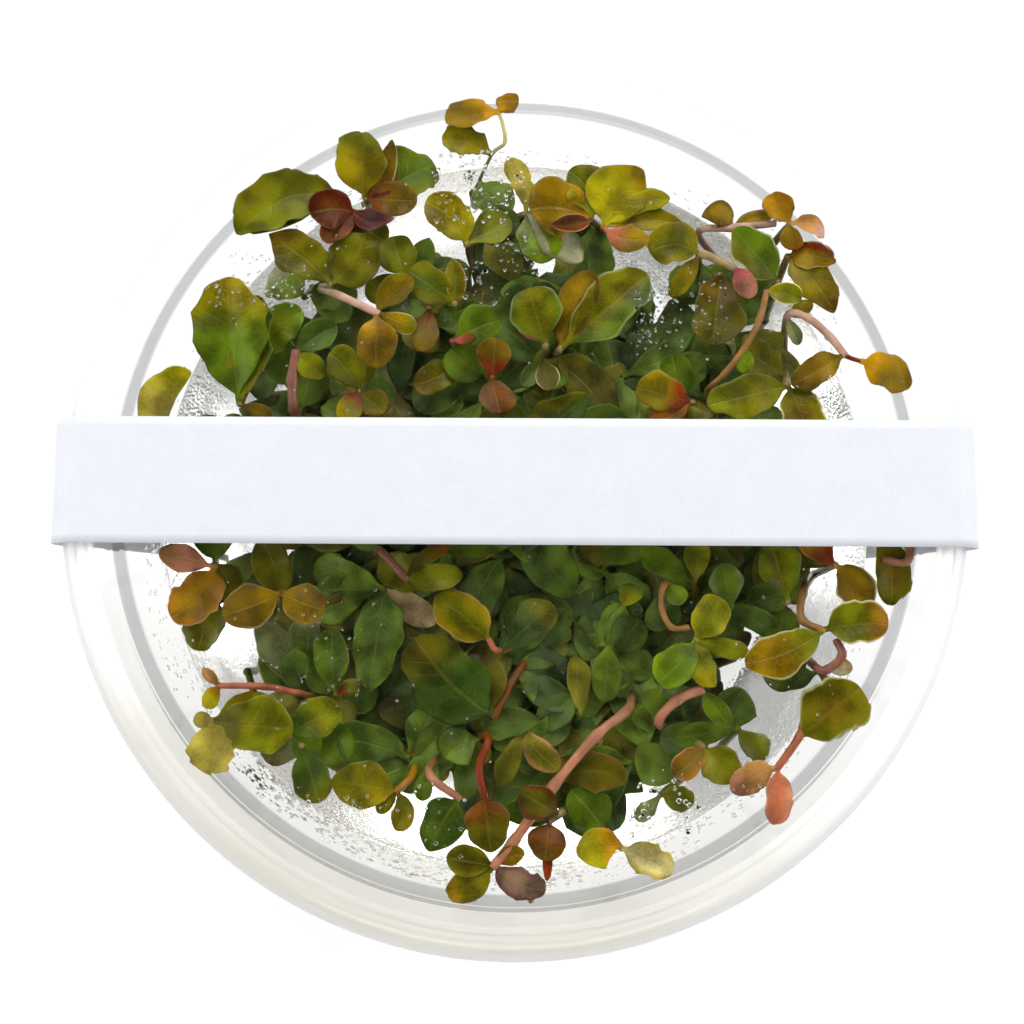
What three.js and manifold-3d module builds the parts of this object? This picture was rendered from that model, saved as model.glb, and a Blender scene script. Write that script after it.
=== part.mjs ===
// A closed tissue-culture cup of young ludwigia plants: a clear tapered cup with a press-on lid,
// set clear gel in it, a bare paper strip over the lid, and clumps of leafy shoots rooted in the gel.
// Millimetres, +Z up, origin at the middle of the cup's underside.
import * as THREE from 'three';
import { mergeVertices } from 'three/addons/utils/BufferGeometryUtils.js';
import Module from 'manifold-3d';

const wasm = await Module();
wasm.setup();

// Driving dimensions of the vessel
const GAP = 0.3; // clearance between pieces that touch
const RIM_HEIGHT = 42; // top of the lid's raised rim
const LIP_RADIUS = 50.5; // outermost bead of the lid
const WALL = 0.9; // cup wall
const LID_WALL = 0.7; // lid sheet
const FLOOR = 1.0; // cup floor
const MOUTH_RADIUS = 46.9; // inside of the cup at its mouth
const FLOOR_RADIUS = 36.8; // inside of the cup at its floor
const MOUTH_HEIGHT = 40.4; // where the inner wall meets the rolled rim
const CUP_TOP = 40.8; // top of the cup's rolled rim
const FLANGE_RADIUS = 48.6; // outside of the rolled rim
const FLANGE_UNDER = 39.4; // underside of the rolled rim
const PANEL_HEIGHT = 40.2; // top of the lid's sunken clear panel
const PANEL_RADIUS = 43.4; // where the panel meets its sloping wall
const RIM_INNER_RADIUS = 44.1; // inner edge of the lid's raised rim
const GEL_HEIGHT = 25.4; // middle of the gel's surface
const GEL_CREEP = 1.1; // how far the gel climbs at the wall
const EDGE_ROUND = 0.4; // bevels where the real edges are rounded
const ROUND_SEGMENTS = 32; // sides of every turned piece

// Paper strip over the lid
const STRIP_WIDTH = 13.8;
const STRIP_THICKNESS = 0.3;
const STRIP_OFFSET = 0.85; // its centre line lies this far towards +Y
const STRIP_TURN = -0.0054; // slight turn about Z, in radians
const STRIP_END_HEIGHT = 12; // its stuck-down ends on the cup wall

// The eye that the shoots' places are noted from: a point noted on the plane of the lid's rim is
// carried down along its line of sight to the depth it lies at below the rim.
const EYE = { x: -0.33, y: -16.14, height: 123.85 };

// Shoots
const ROOT_DEPTH = 20; // below the rim, so inside the gel
const COLLAR_HEIGHT = 27; // where a clump's shoots part, just above the gel
const STEM_RADIUS = 0.5;
const LEAF_HALF_THICKNESS = 0.4; // at its midrib, which stands out below
const BROAD_LEAF = 5.6; // width from which a leaf counts as broad
const SMALL_LEAF = 3.3; // width up to which a leaf counts as small

const TONES = {
  green: 0x4c6b12,
  deep: 0x33501a,
  fresh: 0x87921a,
  olive: 0x6f6d12,
  brown: 0x6a4f18,
  amber: 0xb07a1c,
  orange: 0xc0651e,
  red: 0x9c3a1c,
  wine: 0x5a1c14,
  purple: 0x5c2a3a,
  pink: 0xb0505c,
  pale: 0xa89a80,
};

// One leaf: the route point it grows from, its tip [x, y, depth], its width, how far its midrib
// bows to the left of its way as a share of its length, and its tone.
const leaf = (from, tip, width, bow, tone) => ({ from, tip, width, bow, tone });

// One shoot: the points [x, y, depth] of its stem above the clump's root, and its leaves.
const shoot = (points, leaves) => ({ points, leaves });

// Each clump has one root [x, y] in the gel and one or more shoots. Going round from the upper left.
const CLUMPS = [
  { root: [-18.0, 27.0], shoots: [
    shoot([[-19.6, 31.8, 4.2]], [
      leaf(1, [-31.2, 29.9, 3.5], 6.8, -0.11, 'green'),
      leaf(1, [-30.0, 28.8, 4.6], 2.4, 0, 'deep'),
    ]),
    shoot([[-17.6, 31.2, 5.4]], [
      leaf(1, [-22.8, 31.4, 5.2], 3.6, -0.1, 'wine'),
      leaf(1, [-21.1, 27.8, 3.6], 3.6, 0, 'red'),
      leaf(1, [-13.4, 30.5, 3.6], 2.8, -0.2, 'purple'),
      leaf(1, [-17.6, 28.2, 5.0], 3.0, 0, 'wine'),
    ]),
  ] },
  { root: [-15.0, 28.5], shoots: [
    shoot([[-16.6, 32.6, 5.4]], [
      leaf(1, [-16.4, 40.4, 3.9], 5.4, 0.08, 'green'),
      leaf(1, [-14.2, 40.0, 3.5], 3.0, -0.1, 'olive'),
      leaf(1, [-9.0, 36.6, 6.8], 5.8, 0, 'deep'),
      leaf(1, [-10.9, 32.4, 4.0], 3.8, 0, 'amber'),
      leaf(1, [-13.4, 35.6, 4.6], 2.4, 0, 'wine'),
    ]),
  ] },
  { root: [-21.5, 21.0], shoots: [
    shoot([[-20.3, 22.8, 5.2]], [
      leaf(1, [-26.9, 28.3, 4.0], 6.2, -0.05, 'olive'),
      leaf(1, [-17.6, 28.8, 4.3], 5.6, -0.18, 'olive'),
    ]),
    shoot([[-19.9, 21.8, 4.6], [-15.2, 19.6, 3.8]], [
      leaf(2, [-11.2, 23.3, 3.6], 3.2, 0.1, 'amber'),
      leaf(2, [-14.9, 13.5, 3.5], 4.4, 0, 'amber'),
      leaf(2, [-10.8, 17.8, 4.3], 2.6, 0, 'brown'),
    ]),
    shoot([[-23.3, 21.4, 9.4]], [
      leaf(1, [-26.8, 24.6, 8.4], 4.4, 0, 'green'),
    ]),
  ] },
  { root: [-9.5, 20.5], shoots: [
    shoot([[-12.0, 23.4, 6.8]], [
      leaf(1, [-13.6, 28.3, 6.4], 4.6, 0, 'green'),
      leaf(1, [-16.5, 21.5, 7.2], 3.4, 0, 'olive'),
    ]),
    shoot([[-6.7, 20.7, 5.2]], [
      leaf(1, [-11.8, 24.4, 4.5], 4.4, 0, 'fresh'),
      leaf(1, [-7.1, 25.7, 4.6], 3.4, -0.12, 'olive'),
    ]),
  ] },
  { root: [-2.5, 27.5], shoots: [
    shoot([[-5.4, 27.4, 5.2]], [
      leaf(1, [-10.0, 32.3, 3.6], 4.8, -0.12, 'fresh'),
      leaf(1, [-0.6, 30.4, 7.0], 4.0, 0, 'deep'),
    ]),
    shoot([[1.2, 31.0, 6.2]], [
      leaf(1, [-0.8, 37.3, 5.2], 3.0, -0.1, 'fresh'),
      leaf(1, [3.6, 26.4, 7.2], 4.4, 0, 'green'),
      leaf(1, [7.4, 27.4, 6.4], 3.2, 0, 'fresh'),
    ]),
  ] },
  { root: [-4.5, 31.5], shoots: [
    shoot([[-2.6, 37.8, 6.0], [-1.1, 39.2, 4.6], [-1.4, 42.2, 3.8]], [
      leaf(1, [-8.2, 40.2, 4.8], 3.8, -0.08, 'olive'),
      leaf(3, [-7.6, 41.7, 3.5], 3.6, -0.1, 'amber'),
      leaf(3, [-0.4, 44.6, 3.5], 2.8, 0.1, 'orange'),
    ]),
  ] },
  { root: [9.5, 27.5], shoots: [
    shoot([[8.4, 30.2, 4.8]], [
      leaf(1, [1.7, 31.8, 3.9], 5.2, -0.12, 'olive'),
      leaf(1, [6.2, 35.9, 4.2], 4.6, -0.18, 'green'),
      leaf(1, [4.2, 29.3, 3.5], 2.4, 0.1, 'red'),
    ]),
    shoot([[10.9, 29.8, 4.6]], [
      leaf(1, [14.4, 35.9, 3.7], 5.0, 0.06, 'olive'),
      leaf(1, [17.3, 32.7, 4.2], 2.8, 0.1, 'brown'),
      leaf(1, [15.4, 28.7, 3.6], 3.2, -0.15, 'orange'),
      leaf(1, [19.1, 29.3, 5.2], 3.0, 0.1, 'green'),
    ]),
  ] },
  { root: [20.0, 21.0], shoots: [
    shoot([[20.5, 26.2, 5.4], [24.2, 24.7, 3.8]], [
      leaf(2, [25.7, 21.2, 3.4], 3.2, 0.1, 'pink'),
      leaf(1, [15.0, 25.6, 4.2], 4.4, -0.15, 'olive'),
      leaf(1, [17.2, 21.4, 5.8], 2.4, 0, 'fresh'),
    ]),
    shoot([[22.7, 23.9, 6.0]], [
      leaf(1, [21.8, 15.9, 4.6], 6.4, 0, 'brown'),
    ]),
  ] },
  { root: [24.0, 21.5], shoots: [
    shoot([[24.9, 29.9, 4.8]], [
      leaf(1, [19.4, 30.2, 4.2], 2.8, -0.2, 'brown'),
      leaf(1, [29.0, 29.6, 4.8], 1.6, 0.1, 'olive'),
    ]),
    shoot([[30.6, 29.8, 3.9]], [
      leaf(1, [27.2, 32.0, 3.4], 3.6, -0.12, 'amber'),
      leaf(1, [34.1, 27.7, 3.5], 2.2, 0.2, 'orange'),
      leaf(1, [31.2, 26.5, 4.0], 2.8, 0, 'brown'),
    ]),
  ] },
  { root: [26.5, 17.5], shoots: [
    shoot([[30.2, 26.0, 5.4]], [
      leaf(1, [34.9, 25.3, 3.5], 3.2, 0.08, 'red'),
      leaf(1, [35.4, 20.1, 4.2], 4.4, 0.06, 'olive'),
    ]),
    shoot([[29.0, 23.2, 5.0]], [
      leaf(1, [24.7, 29.3, 3.6], 5.2, 0, 'deep'),
    ]),
  ] },
  { root: [20.5, 8.5], shoots: [
    shoot([[21.0, 10.8, 8.0], [23.0, 12.8, 5.6], [25.3, 15.8, 4.8], [26.9, 18.8, 4.2], [27.8, 22.0, 3.7]], [
      leaf(5, [31.6, 21.0, 3.3], 2.6, 0.08, 'fresh'),
      leaf(3, [25.0, 12.8, 5.6], 2.0, 0, 'green'),
    ]),
    shoot([[20.6, 10.0, 9.4]], [
      leaf(1, [16.4, 12.9, 8.6], 3.2, 0, 'deep'),
      leaf(1, [25.6, 8.4, 8.6], 2.8, 0, 'olive'),
    ]),
  ] },
  { root: [28.5, 13.0], shoots: [
    shoot([[30.2, 18.8, 5.0], [32.6, 18.9, 4.3], [34.6, 17.2, 4.0], [36.6, 14.8, 3.8]], [
      leaf(4, [30.4, 12.3, 3.7], 4.0, 0, 'olive'),
      leaf(4, [43.4, 12.0, 3.3], 4.4, 0.04, 'amber'),
      leaf(1, [31.2, 16.0, 5.8], 1.6, 0, 'deep'),
    ]),
    shoot([[29.8, 11.4, 4.8]], [
      leaf(1, [21.0, 9.2, 3.6], 5.0, 0, 'fresh'),
      leaf(1, [31.8, 5.2, 3.9], 5.2, 0.06, 'brown'),
    ]),
  ] },
  { root: [15.5, 9.0], shoots: [
    shoot([[19.4, 9.6, 4.6]], [
      leaf(1, [13.3, 11.3, 3.6], 4.6, 0, 'orange'),
      leaf(1, [14.9, 6.8, 4.0], 3.2, 0, 'amber'),
    ]),
    shoot([[11.6, 12.4, 11.0]], [
      leaf(1, [23.4, 14.8, 10.2], 5.6, 0.06, 'green'),
      leaf(1, [10.8, 6.2, 10.4], 4.4, 0, 'green'),
    ]),
  ] },
  { root: [3.6, 12.8], shoots: [
    shoot([[5.0, 15.6, 5.0]], [
      leaf(1, [14.7, 24.0, 4.2], 6.4, 0, 'olive'),
      leaf(1, [8.7, 24.3, 3.5], 3.8, 0.05, 'amber'),
    ]),
    shoot([[3.3, 16.0, 4.6]], [
      leaf(1, [1.5, 22.4, 3.4], 6.0, 0, 'green'),
      leaf(1, [0.3, 17.8, 4.2], 1.7, -0.2, 'pale'),
    ]),
    shoot([[3.0, 14.2, 7.4]], [
      leaf(1, [3.9, 10.9, 5.4], 2.7, 0, 'brown'),
      leaf(1, [0.7, 11.3, 6.4], 2.2, 0, 'fresh'),
      leaf(1, [8.8, 11.6, 9.0], 4.8, 0, 'olive'),
    ]),
  ] },
  { root: [-28.0, 11.0], shoots: [
    shoot([[-30.1, 9.4, 4.8]], [
      leaf(1, [-32.3, 20.3, 3.4], 6.2, 0.02, 'green'),
      leaf(1, [-30.6, 23.7, 4.6], 6.0, -0.03, 'amber'),
      leaf(1, [-26.6, 8.0, 5.4], 1.8, 0, 'brown'),
    ]),
    shoot([[-27.6, 14.2, 6.6]], [
      leaf(1, [-23.4, 19.8, 5.8], 5.0, 0.12, 'deep'),
    ]),
  ] },
  { root: [-22.0, 8.5], shoots: [
    shoot([[-24.0, 8.4, 6.2], [-24.4, 11.9, 4.8], [-24.1, 15.1, 4.4]], [
      leaf(3, [-19.6, 18.1, 5.2], 3.8, 0.05, 'green'),
      leaf(3, [-20.9, 12.4, 5.4], 3.2, 0, 'fresh'),
    ]),
    shoot([[-17.0, 10.8, 6.0]], [
      leaf(1, [-20.4, 15.1, 4.8], 4.2, -0.08, 'fresh'),
      leaf(1, [-14.2, 8.4, 5.0], 3.2, 0, 'amber'),
      leaf(1, [-18.9, 7.4, 4.8], 2.8, 0, 'orange'),
    ]),
  ] },
  { root: [-32.0, 2.5], shoots: [
    shoot([[-37.4, 4.4, 4.8]], [
      leaf(1, [-35.4, 13.1, 3.4], 4.4, 0.22, 'amber'),
      leaf(1, [-31.8, 7.0, 5.4], 4.2, 0, 'green'),
    ]),
    shoot([[-30.5, 0.6, 6.4]], [
      leaf(1, [-37.0, -0.6, 4.8], 4.2, 0.1, 'olive'),
      leaf(1, [-24.6, 2.6, 5.4], 4.4, 0, 'green'),
    ]),
  ] },
  { root: [-13.0, 5.0], shoots: [
    shoot([[-12.4, 9.6, 11.4]], [
      leaf(1, [-20.3, 12.2, 10.6], 5.6, 0, 'green'),
      leaf(1, [-14.3, 17.6, 10.8], 6.0, 0, 'deep'),
      leaf(1, [-5.6, 9.4, 10.8], 5.4, 0, 'green'),
    ]),
    shoot([[-15.8, 1.4, 7.0]], [
      leaf(1, [-9.4, 3.6, 5.2], 4.6, 0, 'green'),
      leaf(1, [-22.4, -1.8, 6.4], 4.2, 0, 'olive'),
    ]),
  ] },
  { root: [-8.0, 15.5], shoots: [
    shoot([[-9.5, 20.2, 5.6]], [
      leaf(1, [-10.1, 15.2, 4.4], 3.0, 0, 'olive'),
    ]),
    shoot([[-6.2, 14.4, 6.8]], [
      leaf(1, [-11.1, 11.6, 6.0], 4.4, 0.1, 'olive'),
    ]),
  ] },
  { root: [-4.2, 12.6], shoots: [
    shoot([[-2.5, 12.3, 4.6]], [
      leaf(1, [-2.1, 16.8, 3.6], 3.8, 0, 'red'),
      leaf(1, [-1.6, 8.3, 3.7], 3.9, 0, 'red'),
    ]),
    shoot([[-6.9, 16.4, 5.2]], [
      leaf(1, [-1.2, 18.9, 4.8], 4.4, 0.05, 'green'),
      leaf(1, [-4.3, 16.9, 3.9], 1.3, 0, 'pink'),
    ]),
  ] },
  { root: [-2.0, 0.0], shoots: [
    shoot([[-2.5, 1.5, 6.0]], [
      leaf(1, [4.5, 3.4, 4.8], 4.8, 0, 'green'),
      leaf(1, [-8.6, -2.4, 5.6], 4.0, 0, 'fresh'),
      leaf(1, [-1.4, -5.6, 7.0], 3.6, 0, 'olive'),
    ]),
  ] },
  { root: [11.0, -3.0], shoots: [
    shoot([[12.5, 1.0, 6.4]], [
      leaf(1, [19.2, 2.6, 4.8], 4.6, 0, 'olive'),
      leaf(1, [6.4, -2.2, 7.0], 4.0, 0, 'green'),
    ]),
    shoot([[9.4, -8.8, 9.8]], [
      leaf(1, [3.2, -7.0, 9.2], 3.0, 0, 'red'),
      leaf(1, [14.0, -13.6, 10.6], 4.6, 0, 'green'),
    ]),
  ] },
  { root: [27.0, -1.0], shoots: [
    shoot([[27.0, 0.6, 5.8]], [
      leaf(1, [20.4, -2.8, 6.4], 4.2, 0, 'green'),
      leaf(1, [34.4, 1.8, 4.6], 4.6, 0, 'amber'),
    ]),
  ] },
  { root: [33.5, -2.0], shoots: [
    shoot([[38.0, 0.0, 5.2]], [
      leaf(1, [42.4, 3.6, 4.0], 3.6, 0, 'olive'),
    ]),
    shoot([[39.2, -4.4, 5.2], [42.4, -6.0, 4.2], [42.2, -7.9, 3.9], [39.9, -7.7, 3.8]], [
      leaf(1, [40.2, -12.6, 4.8], 4.0, 0.08, 'olive'),
    ]),
  ] },
  { root: [-31.0, -7.5], shoots: [
    shoot([[-32.4, -8.4, 4.8]], [
      leaf(1, [-38.4, -6.6, 3.9], 3.2, 0, 'red'),
      leaf(1, [-36.9, -13.8, 3.4], 5.2, 0.1, 'orange'),
      leaf(1, [-34.2, -17.2, 6.4], 3.6, 0, 'olive'),
    ]),
  ] },
  { root: [-24.2, -13.5], shoots: [
    shoot([[-25.1, -11.1, 4.4]], [
      leaf(1, [-31.5, -12.7, 3.4], 4.6, 0.03, 'amber'),
      leaf(1, [-20.3, -12.8, 3.5], 4.2, -0.04, 'amber'),
    ]),
    shoot([[-23.4, -20.4, 10.0]], [
      leaf(1, [-27.4, -14.8, 8.6], 5.0, 0, 'deep'),
    ]),
  ] },
  { root: [-14.5, -8.0], shoots: [
    shoot([[-14.0, -10.8, 8.8]], [
      leaf(1, [-15.6, -21.9, 7.4], 5.4, 0, 'green'),
      leaf(1, [-8.6, -14.6, 9.8], 3.4, 0, 'brown'),
      leaf(1, [-21.6, -8.2, 9.8], 4.4, 0, 'green'),
    ]),
    shoot([[-14.6, -6.6, 5.8], [-11.7, -9.7, 4.6]], [
      leaf(2, [-5.6, -9.4, 4.2], 3.4, 0, 'fresh'),
      leaf(2, [-7.0, -6.2, 3.8], 2.2, 0.1, 'amber'),
    ]),
  ] },
  { root: [-19.6, -22.0], shoots: [
    shoot([[-19.0, -22.0, 7.0]], [
      leaf(1, [-19.4, -15.0, 6.4], 4.2, 0.05, 'green'),
      leaf(1, [-16.4, -20.6, 5.6], 1.5, 0, 'red'),
    ]),
    shoot([[-22.4, -22.0, 7.0], [-26.5, -21.2, 4.6], [-31.5, -21.1, 3.7]], [
      leaf(3, [-33.0, -23.4, 3.6], 1.9, 0, 'amber'),
      leaf(3, [-33.3, -19.2, 3.6], 1.2, 0, 'red'),
    ]),
    shoot([[-18.2, -24.0, 5.2]], [
      leaf(1, [-21.9, -26.4, 4.0], 3.4, 0.1, 'fresh'),
      leaf(1, [-24.6, -26.6, 5.4], 3.0, 0, 'green'),
    ]),
  ] },
  { root: [-27.5, -19.5], shoots: [
    shoot([[-32.2, -24.8, 4.6]], [
      leaf(1, [-23.4, -25.8, 3.5], 6.2, 0, 'fresh'),
      leaf(1, [-32.4, -30.2, 3.6], 4.8, 0.06, 'fresh'),
      leaf(1, [-34.1, -24.4, 3.8], 2.0, 0, 'fresh'),
    ]),
  ] },
  { root: [-19.0, -26.5], shoots: [
    shoot([[-22.0, -27.5, 5.0]], [
      leaf(1, [-20.0, -33.1, 3.8], 4.0, 0, 'olive'),
    ]),
  ] },
  { root: [-11.0, -27.0], shoots: [
    shoot([[-10.7, -30.0, 6.6], [-12.5, -32.1, 4.2]], [
      leaf(2, [-19.4, -31.0, 3.4], 4.8, -0.03, 'fresh'),
      leaf(2, [-12.6, -36.1, 3.5], 2.6, 0.2, 'amber'),
      leaf(2, [-14.5, -34.3, 4.2], 1.7, 0, 'deep'),
    ]),
    shoot([[-11.4, -28.6, 8.0]], [
      leaf(1, [-18.9, -26.5, 6.6], 5.2, -0.05, 'deep'),
    ]),
  ] },
  { root: [-5.5, -26.5], shoots: [
    shoot([[-9.2, -29.9, 5.8], [-5.9, -32.8, 4.5]], [
      leaf(2, [-9.0, -38.3, 3.6], 5.0, -0.05, 'green'),
      leaf(1, [-9.9, -33.1, 5.4], 2.0, 0, 'fresh'),
    ]),
    shoot([[-2.9, -26.4, 5.8], [-3.8, -29.6, 4.4], [-3.3, -32.5, 4.2]], [
      leaf(3, [-2.5, -38.4, 3.6], 4.8, 0, 'red'),
    ]),
  ] },
  { root: [11.5, -20.5], shoots: [
    shoot([[12.2, -23.3, 7.0], [8.0, -26.3, 4.8], [3.6, -31.7, 4.2], [-0.5, -37.5, 4.0], [-2.2, -39.7, 3.8]], [
      leaf(5, [-6.9, -38.6, 3.7], 2.4, 0, 'olive'),
      leaf(5, [-7.2, -42.2, 3.8], 2.6, 0.1, 'fresh'),
      leaf(5, [1.0, -38.5, 4.0], 2.0, 0.1, 'fresh'),
      leaf(5, [3.1, -42.0, 4.6], 3.0, -0.1, 'purple'),
    ]),
    shoot([[10.0, -16.5, 7.0], [10.3, -14.2, 5.4], [11.5, -12.8, 4.5]], [
      leaf(3, [12.9, -10.4, 4.0], 2.7, 0, 'fresh'),
      leaf(1, [9.4, -22.8, 8.4], 3.8, 0, 'green'),
    ]),
  ] },
  { root: [6.5, -32.5], shoots: [
    shoot([[3.6, -35.2, 5.2]], [
      leaf(1, [3.2, -39.3, 3.6], 4.4, 0, 'red'),
    ]),
    shoot([[11.1, -37.9, 4.4]], [
      leaf(1, [7.0, -39.2, 3.6], 4.0, -0.14, 'amber'),
      leaf(1, [16.6, -40.0, 3.8], 3.2, 0, 'pale'),
    ]),
  ] },
  { root: [2.0, -16.0], shoots: [
    shoot([[1.0, -18.6, 8.8], [-0.6, -21.0, 7.2], [-2.2, -24.4, 6.6]], [
      leaf(3, [-9.7, -16.8, 6.0], 6.8, 0.06, 'brown'),
      leaf(3, [-4.0, -16.9, 7.8], 5.0, 0, 'olive'),
    ]),
    shoot([[0.0, -12.4, 6.4]], [
      leaf(1, [-8.5, -13.0, 5.2], 5.2, 0.08, 'amber'),
      leaf(1, [6.0, -9.6, 8.6], 4.2, 0, 'green'),
    ]),
  ] },
  { root: [6.6, -14.5], shoots: [
    shoot([[7.0, -15.4, 10.2]], [
      leaf(1, [0.4, -16.4, 10.2], 3.2, 0, 'olive'),
      leaf(1, [14.6, -20.0, 10.8], 4.4, 0, 'green'),
    ]),
  ] },
  { root: [4.0, -25.0], shoots: [
    shoot([[7.0, -24.2, 8.4]], [
      leaf(1, [6.4, -17.9, 7.4], 2.9, 0, 'olive'),
      leaf(1, [1.6, -20.6, 9.8], 4.2, 0, 'deep'),
    ]),
    shoot([[1.0, -25.4, 7.8]], [
      leaf(1, [4.4, -29.6, 6.6], 3.2, -0.1, 'brown'),
      leaf(1, [-1.6, -31.6, 7.8], 2.8, 0, 'olive'),
    ]),
  ] },
  { root: [8.5, -29.5], shoots: [
    shoot([[4.4, -31.4, 6.8]], [
      leaf(1, [0.0, -34.0, 5.8], 3.8, 0.05, 'green'),
    ]),
    shoot([[12.4, -29.2, 8.2]], [
      leaf(1, [5.4, -32.4, 7.6], 4.8, -0.2, 'green'),
      leaf(1, [6.4, -36.2, 9.0], 3.0, 0, 'deep'),
    ]),
  ] },
  { root: [19.0, -14.0], shoots: [
    shoot([[19.3, -16.3, 5.0]], [
      leaf(1, [15.1, -20.7, 4.0], 4.6, 0.05, 'fresh'),
      leaf(1, [22.4, -11.7, 4.6], 3.9, 0, 'fresh'),
      leaf(1, [20.7, -21.0, 3.8], 2.6, -0.1, 'amber'),
      leaf(1, [24.9, -17.7, 5.2], 2.7, 0, 'green'),
    ]),
    shoot([[19.3, -10.2, 7.0]], [
      leaf(1, [13.4, -6.4, 6.8], 3.2, 0, 'green'),
      leaf(1, [19.8, -5.2, 5.8], 2.8, 0, 'fresh'),
    ]),
  ] },
  { root: [17.0, -25.5], shoots: [
    shoot([[15.4, -24.9, 6.4], [17.5, -22.9, 5.2], [20.0, -22.2, 4.6]], [
      leaf(3, [23.7, -24.6, 5.2], 2.8, 0, 'olive'),
      leaf(1, [14.6, -21.4, 7.0], 2.6, 0, 'green'),
    ]),
    shoot([[19.9, -27.6, 5.2]], [
      leaf(1, [16.7, -30.4, 3.8], 3.5, 0.05, 'orange'),
      leaf(1, [22.6, -31.4, 4.2], 5.0, 0.1, 'olive'),
    ]),
  ] },
  { root: [20.0, -28.0], shoots: [
    shoot([[23.6, -25.6, 7.0]], [
      leaf(1, [26.5, -28.8, 6.0], 3.0, 0, 'deep'),
      leaf(1, [16.4, -26.6, 7.6], 2.8, 0, 'green'),
    ]),
    shoot([[15.4, -32.4, 7.4]], [
      leaf(1, [18.9, -33.1, 6.6], 2.9, 0, 'green'),
      leaf(1, [12.7, -35.1, 6.6], 1.9, 0, 'olive'),
    ]),
  ] },
  { root: [26.0, -12.0], shoots: [
    shoot([[23.2, -12.8, 6.6]], [
      leaf(1, [22.4, -8.0, 5.4], 3.7, 0, 'green'),
      leaf(1, [28.0, -15.4, 7.4], 3.0, 0, 'deep'),
    ]),
    shoot([[29.3, -12.2, 5.8]], [
      leaf(1, [27.3, -6.4, 4.8], 4.8, 0, 'green'),
    ]),
  ] },
  { root: [31.0, -9.5], shoots: [
    shoot([[31.0, -11.0, 6.8], [30.7, -14.0, 5.0], [33.0, -15.2, 4.2]], [
      leaf(3, [24.5, -18.7, 3.5], 4.8, 0.06, 'amber'),
      leaf(3, [40.0, -14.8, 3.5], 4.4, 0.06, 'green'),
    ]),
    shoot([[34.5, -8.2, 4.6]], [
      leaf(1, [37.0, -13.1, 3.6], 4.4, 0.12, 'brown'),
      leaf(1, [30.4, -4.6, 3.7], 3.4, 0, 'orange'),
    ]),
  ] },
  { root: [29.0, -17.0], shoots: [
    shoot([[31.8, -18.9, 5.6], [33.2, -19.4, 4.6], [34.9, -17.9, 4.2], [34.4, -16.4, 4.2]], [
      leaf(3, [36.6, -19.0, 5.0], 2.2, 0, 'deep'),
    ]),
    shoot([[33.2, -20.8, 7.2], [31.0, -23.8, 6.0], [30.1, -26.4, 5.0], [27.7, -29.7, 4.2]], [
      leaf(3, [36.8, -21.3, 3.4], 5.6, 0, 'amber'),
      leaf(4, [22.9, -32.3, 3.8], 3.0, -0.1, 'brown'),
      leaf(4, [27.3, -35.5, 3.6], 3.3, 0, 'red'),
    ]),
  ] },
];

const CLEAR_PLASTIC = { color: 0xf2f4f2, roughness: 0.15, metalness: 0, transparent: true, opacity: 0.35 };
const LID_PLASTIC = { color: 0xf6f6f2, roughness: 0.3, metalness: 0, transparent: true, opacity: 0.55 };
const GEL = { color: 0xdcdcd4, roughness: 0.1, metalness: 0, transparent: true, opacity: 0.5 };
const PAPER = { color: 0xf4f6fb, roughness: 0.8, metalness: 0 };

function named(name, geometry, finish) {
  const mesh = new THREE.Mesh(geometry, new THREE.MeshStandardMaterial(finish));
  mesh.name = name;
  return mesh;
}

// A turned piece from its profile [radius, height], which starts and ends on the axis. The lathe
// turns about Y, so the piece is stood up on Z.
function turned(profile) {
  const points = profile.map(([radius, height]) => new THREE.Vector2(radius, height));
  const geometry = new THREE.LatheGeometry(points, ROUND_SEGMENTS);
  geometry.rotateX(Math.PI / 2);
  return geometry;
}

function toSolid(geometry) {
  const bare = geometry.clone();
  bare.deleteAttribute('normal');
  bare.deleteAttribute('uv');
  const merged = mergeVertices(bare, 1e-5);
  const mesh = new wasm.Mesh({
    numProp: 3,
    vertProperties: new Float32Array(merged.attributes.position.array),
    triVerts: new Uint32Array(merged.index.array),
  });
  return new wasm.Manifold(mesh);
}

function toGeometry(solid) {
  const mesh = solid.getMesh();
  const geometry = new THREE.BufferGeometry();
  geometry.setAttribute('position', new THREE.BufferAttribute(mesh.vertProperties, 3));
  geometry.setIndex(new THREE.BufferAttribute(mesh.triVerts, 1));
  geometry.computeVertexNormals();
  return geometry;
}

// Cutting can leave loose crumbs, so the largest body is kept.
function largestBody(solid) {
  const bodies = solid.decompose();
  return bodies.reduce((best, body) => (body.volume() > best.volume() ? body : best));
}

const innerWallRadius = (height) =>
  FLOOR_RADIUS + ((height - FLOOR) * (MOUTH_RADIUS - FLOOR_RADIUS)) / (MOUTH_HEIGHT - FLOOR);

const outerWallRadius = (height) => innerWallRadius(height) + WALL;

function cupGeometry() {
  const corner = FLOOR + 3 * EDGE_ROUND;
  return turned([
    [0, 0],
    [FLOOR_RADIUS - EDGE_ROUND, 0],
    [outerWallRadius(FLOOR), FLOOR],
    [outerWallRadius(FLANGE_UNDER), FLANGE_UNDER],
    [FLANGE_RADIUS, FLANGE_UNDER],
    [FLANGE_RADIUS, CUP_TOP - EDGE_ROUND],
    [FLANGE_RADIUS - EDGE_ROUND, CUP_TOP],
    [MOUTH_RADIUS + EDGE_ROUND, CUP_TOP],
    [MOUTH_RADIUS, MOUTH_HEIGHT],
    [innerWallRadius(corner), corner],
    [FLOOR_RADIUS - 3 * EDGE_ROUND, FLOOR],
    [0, FLOOR],
  ]);
}

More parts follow.
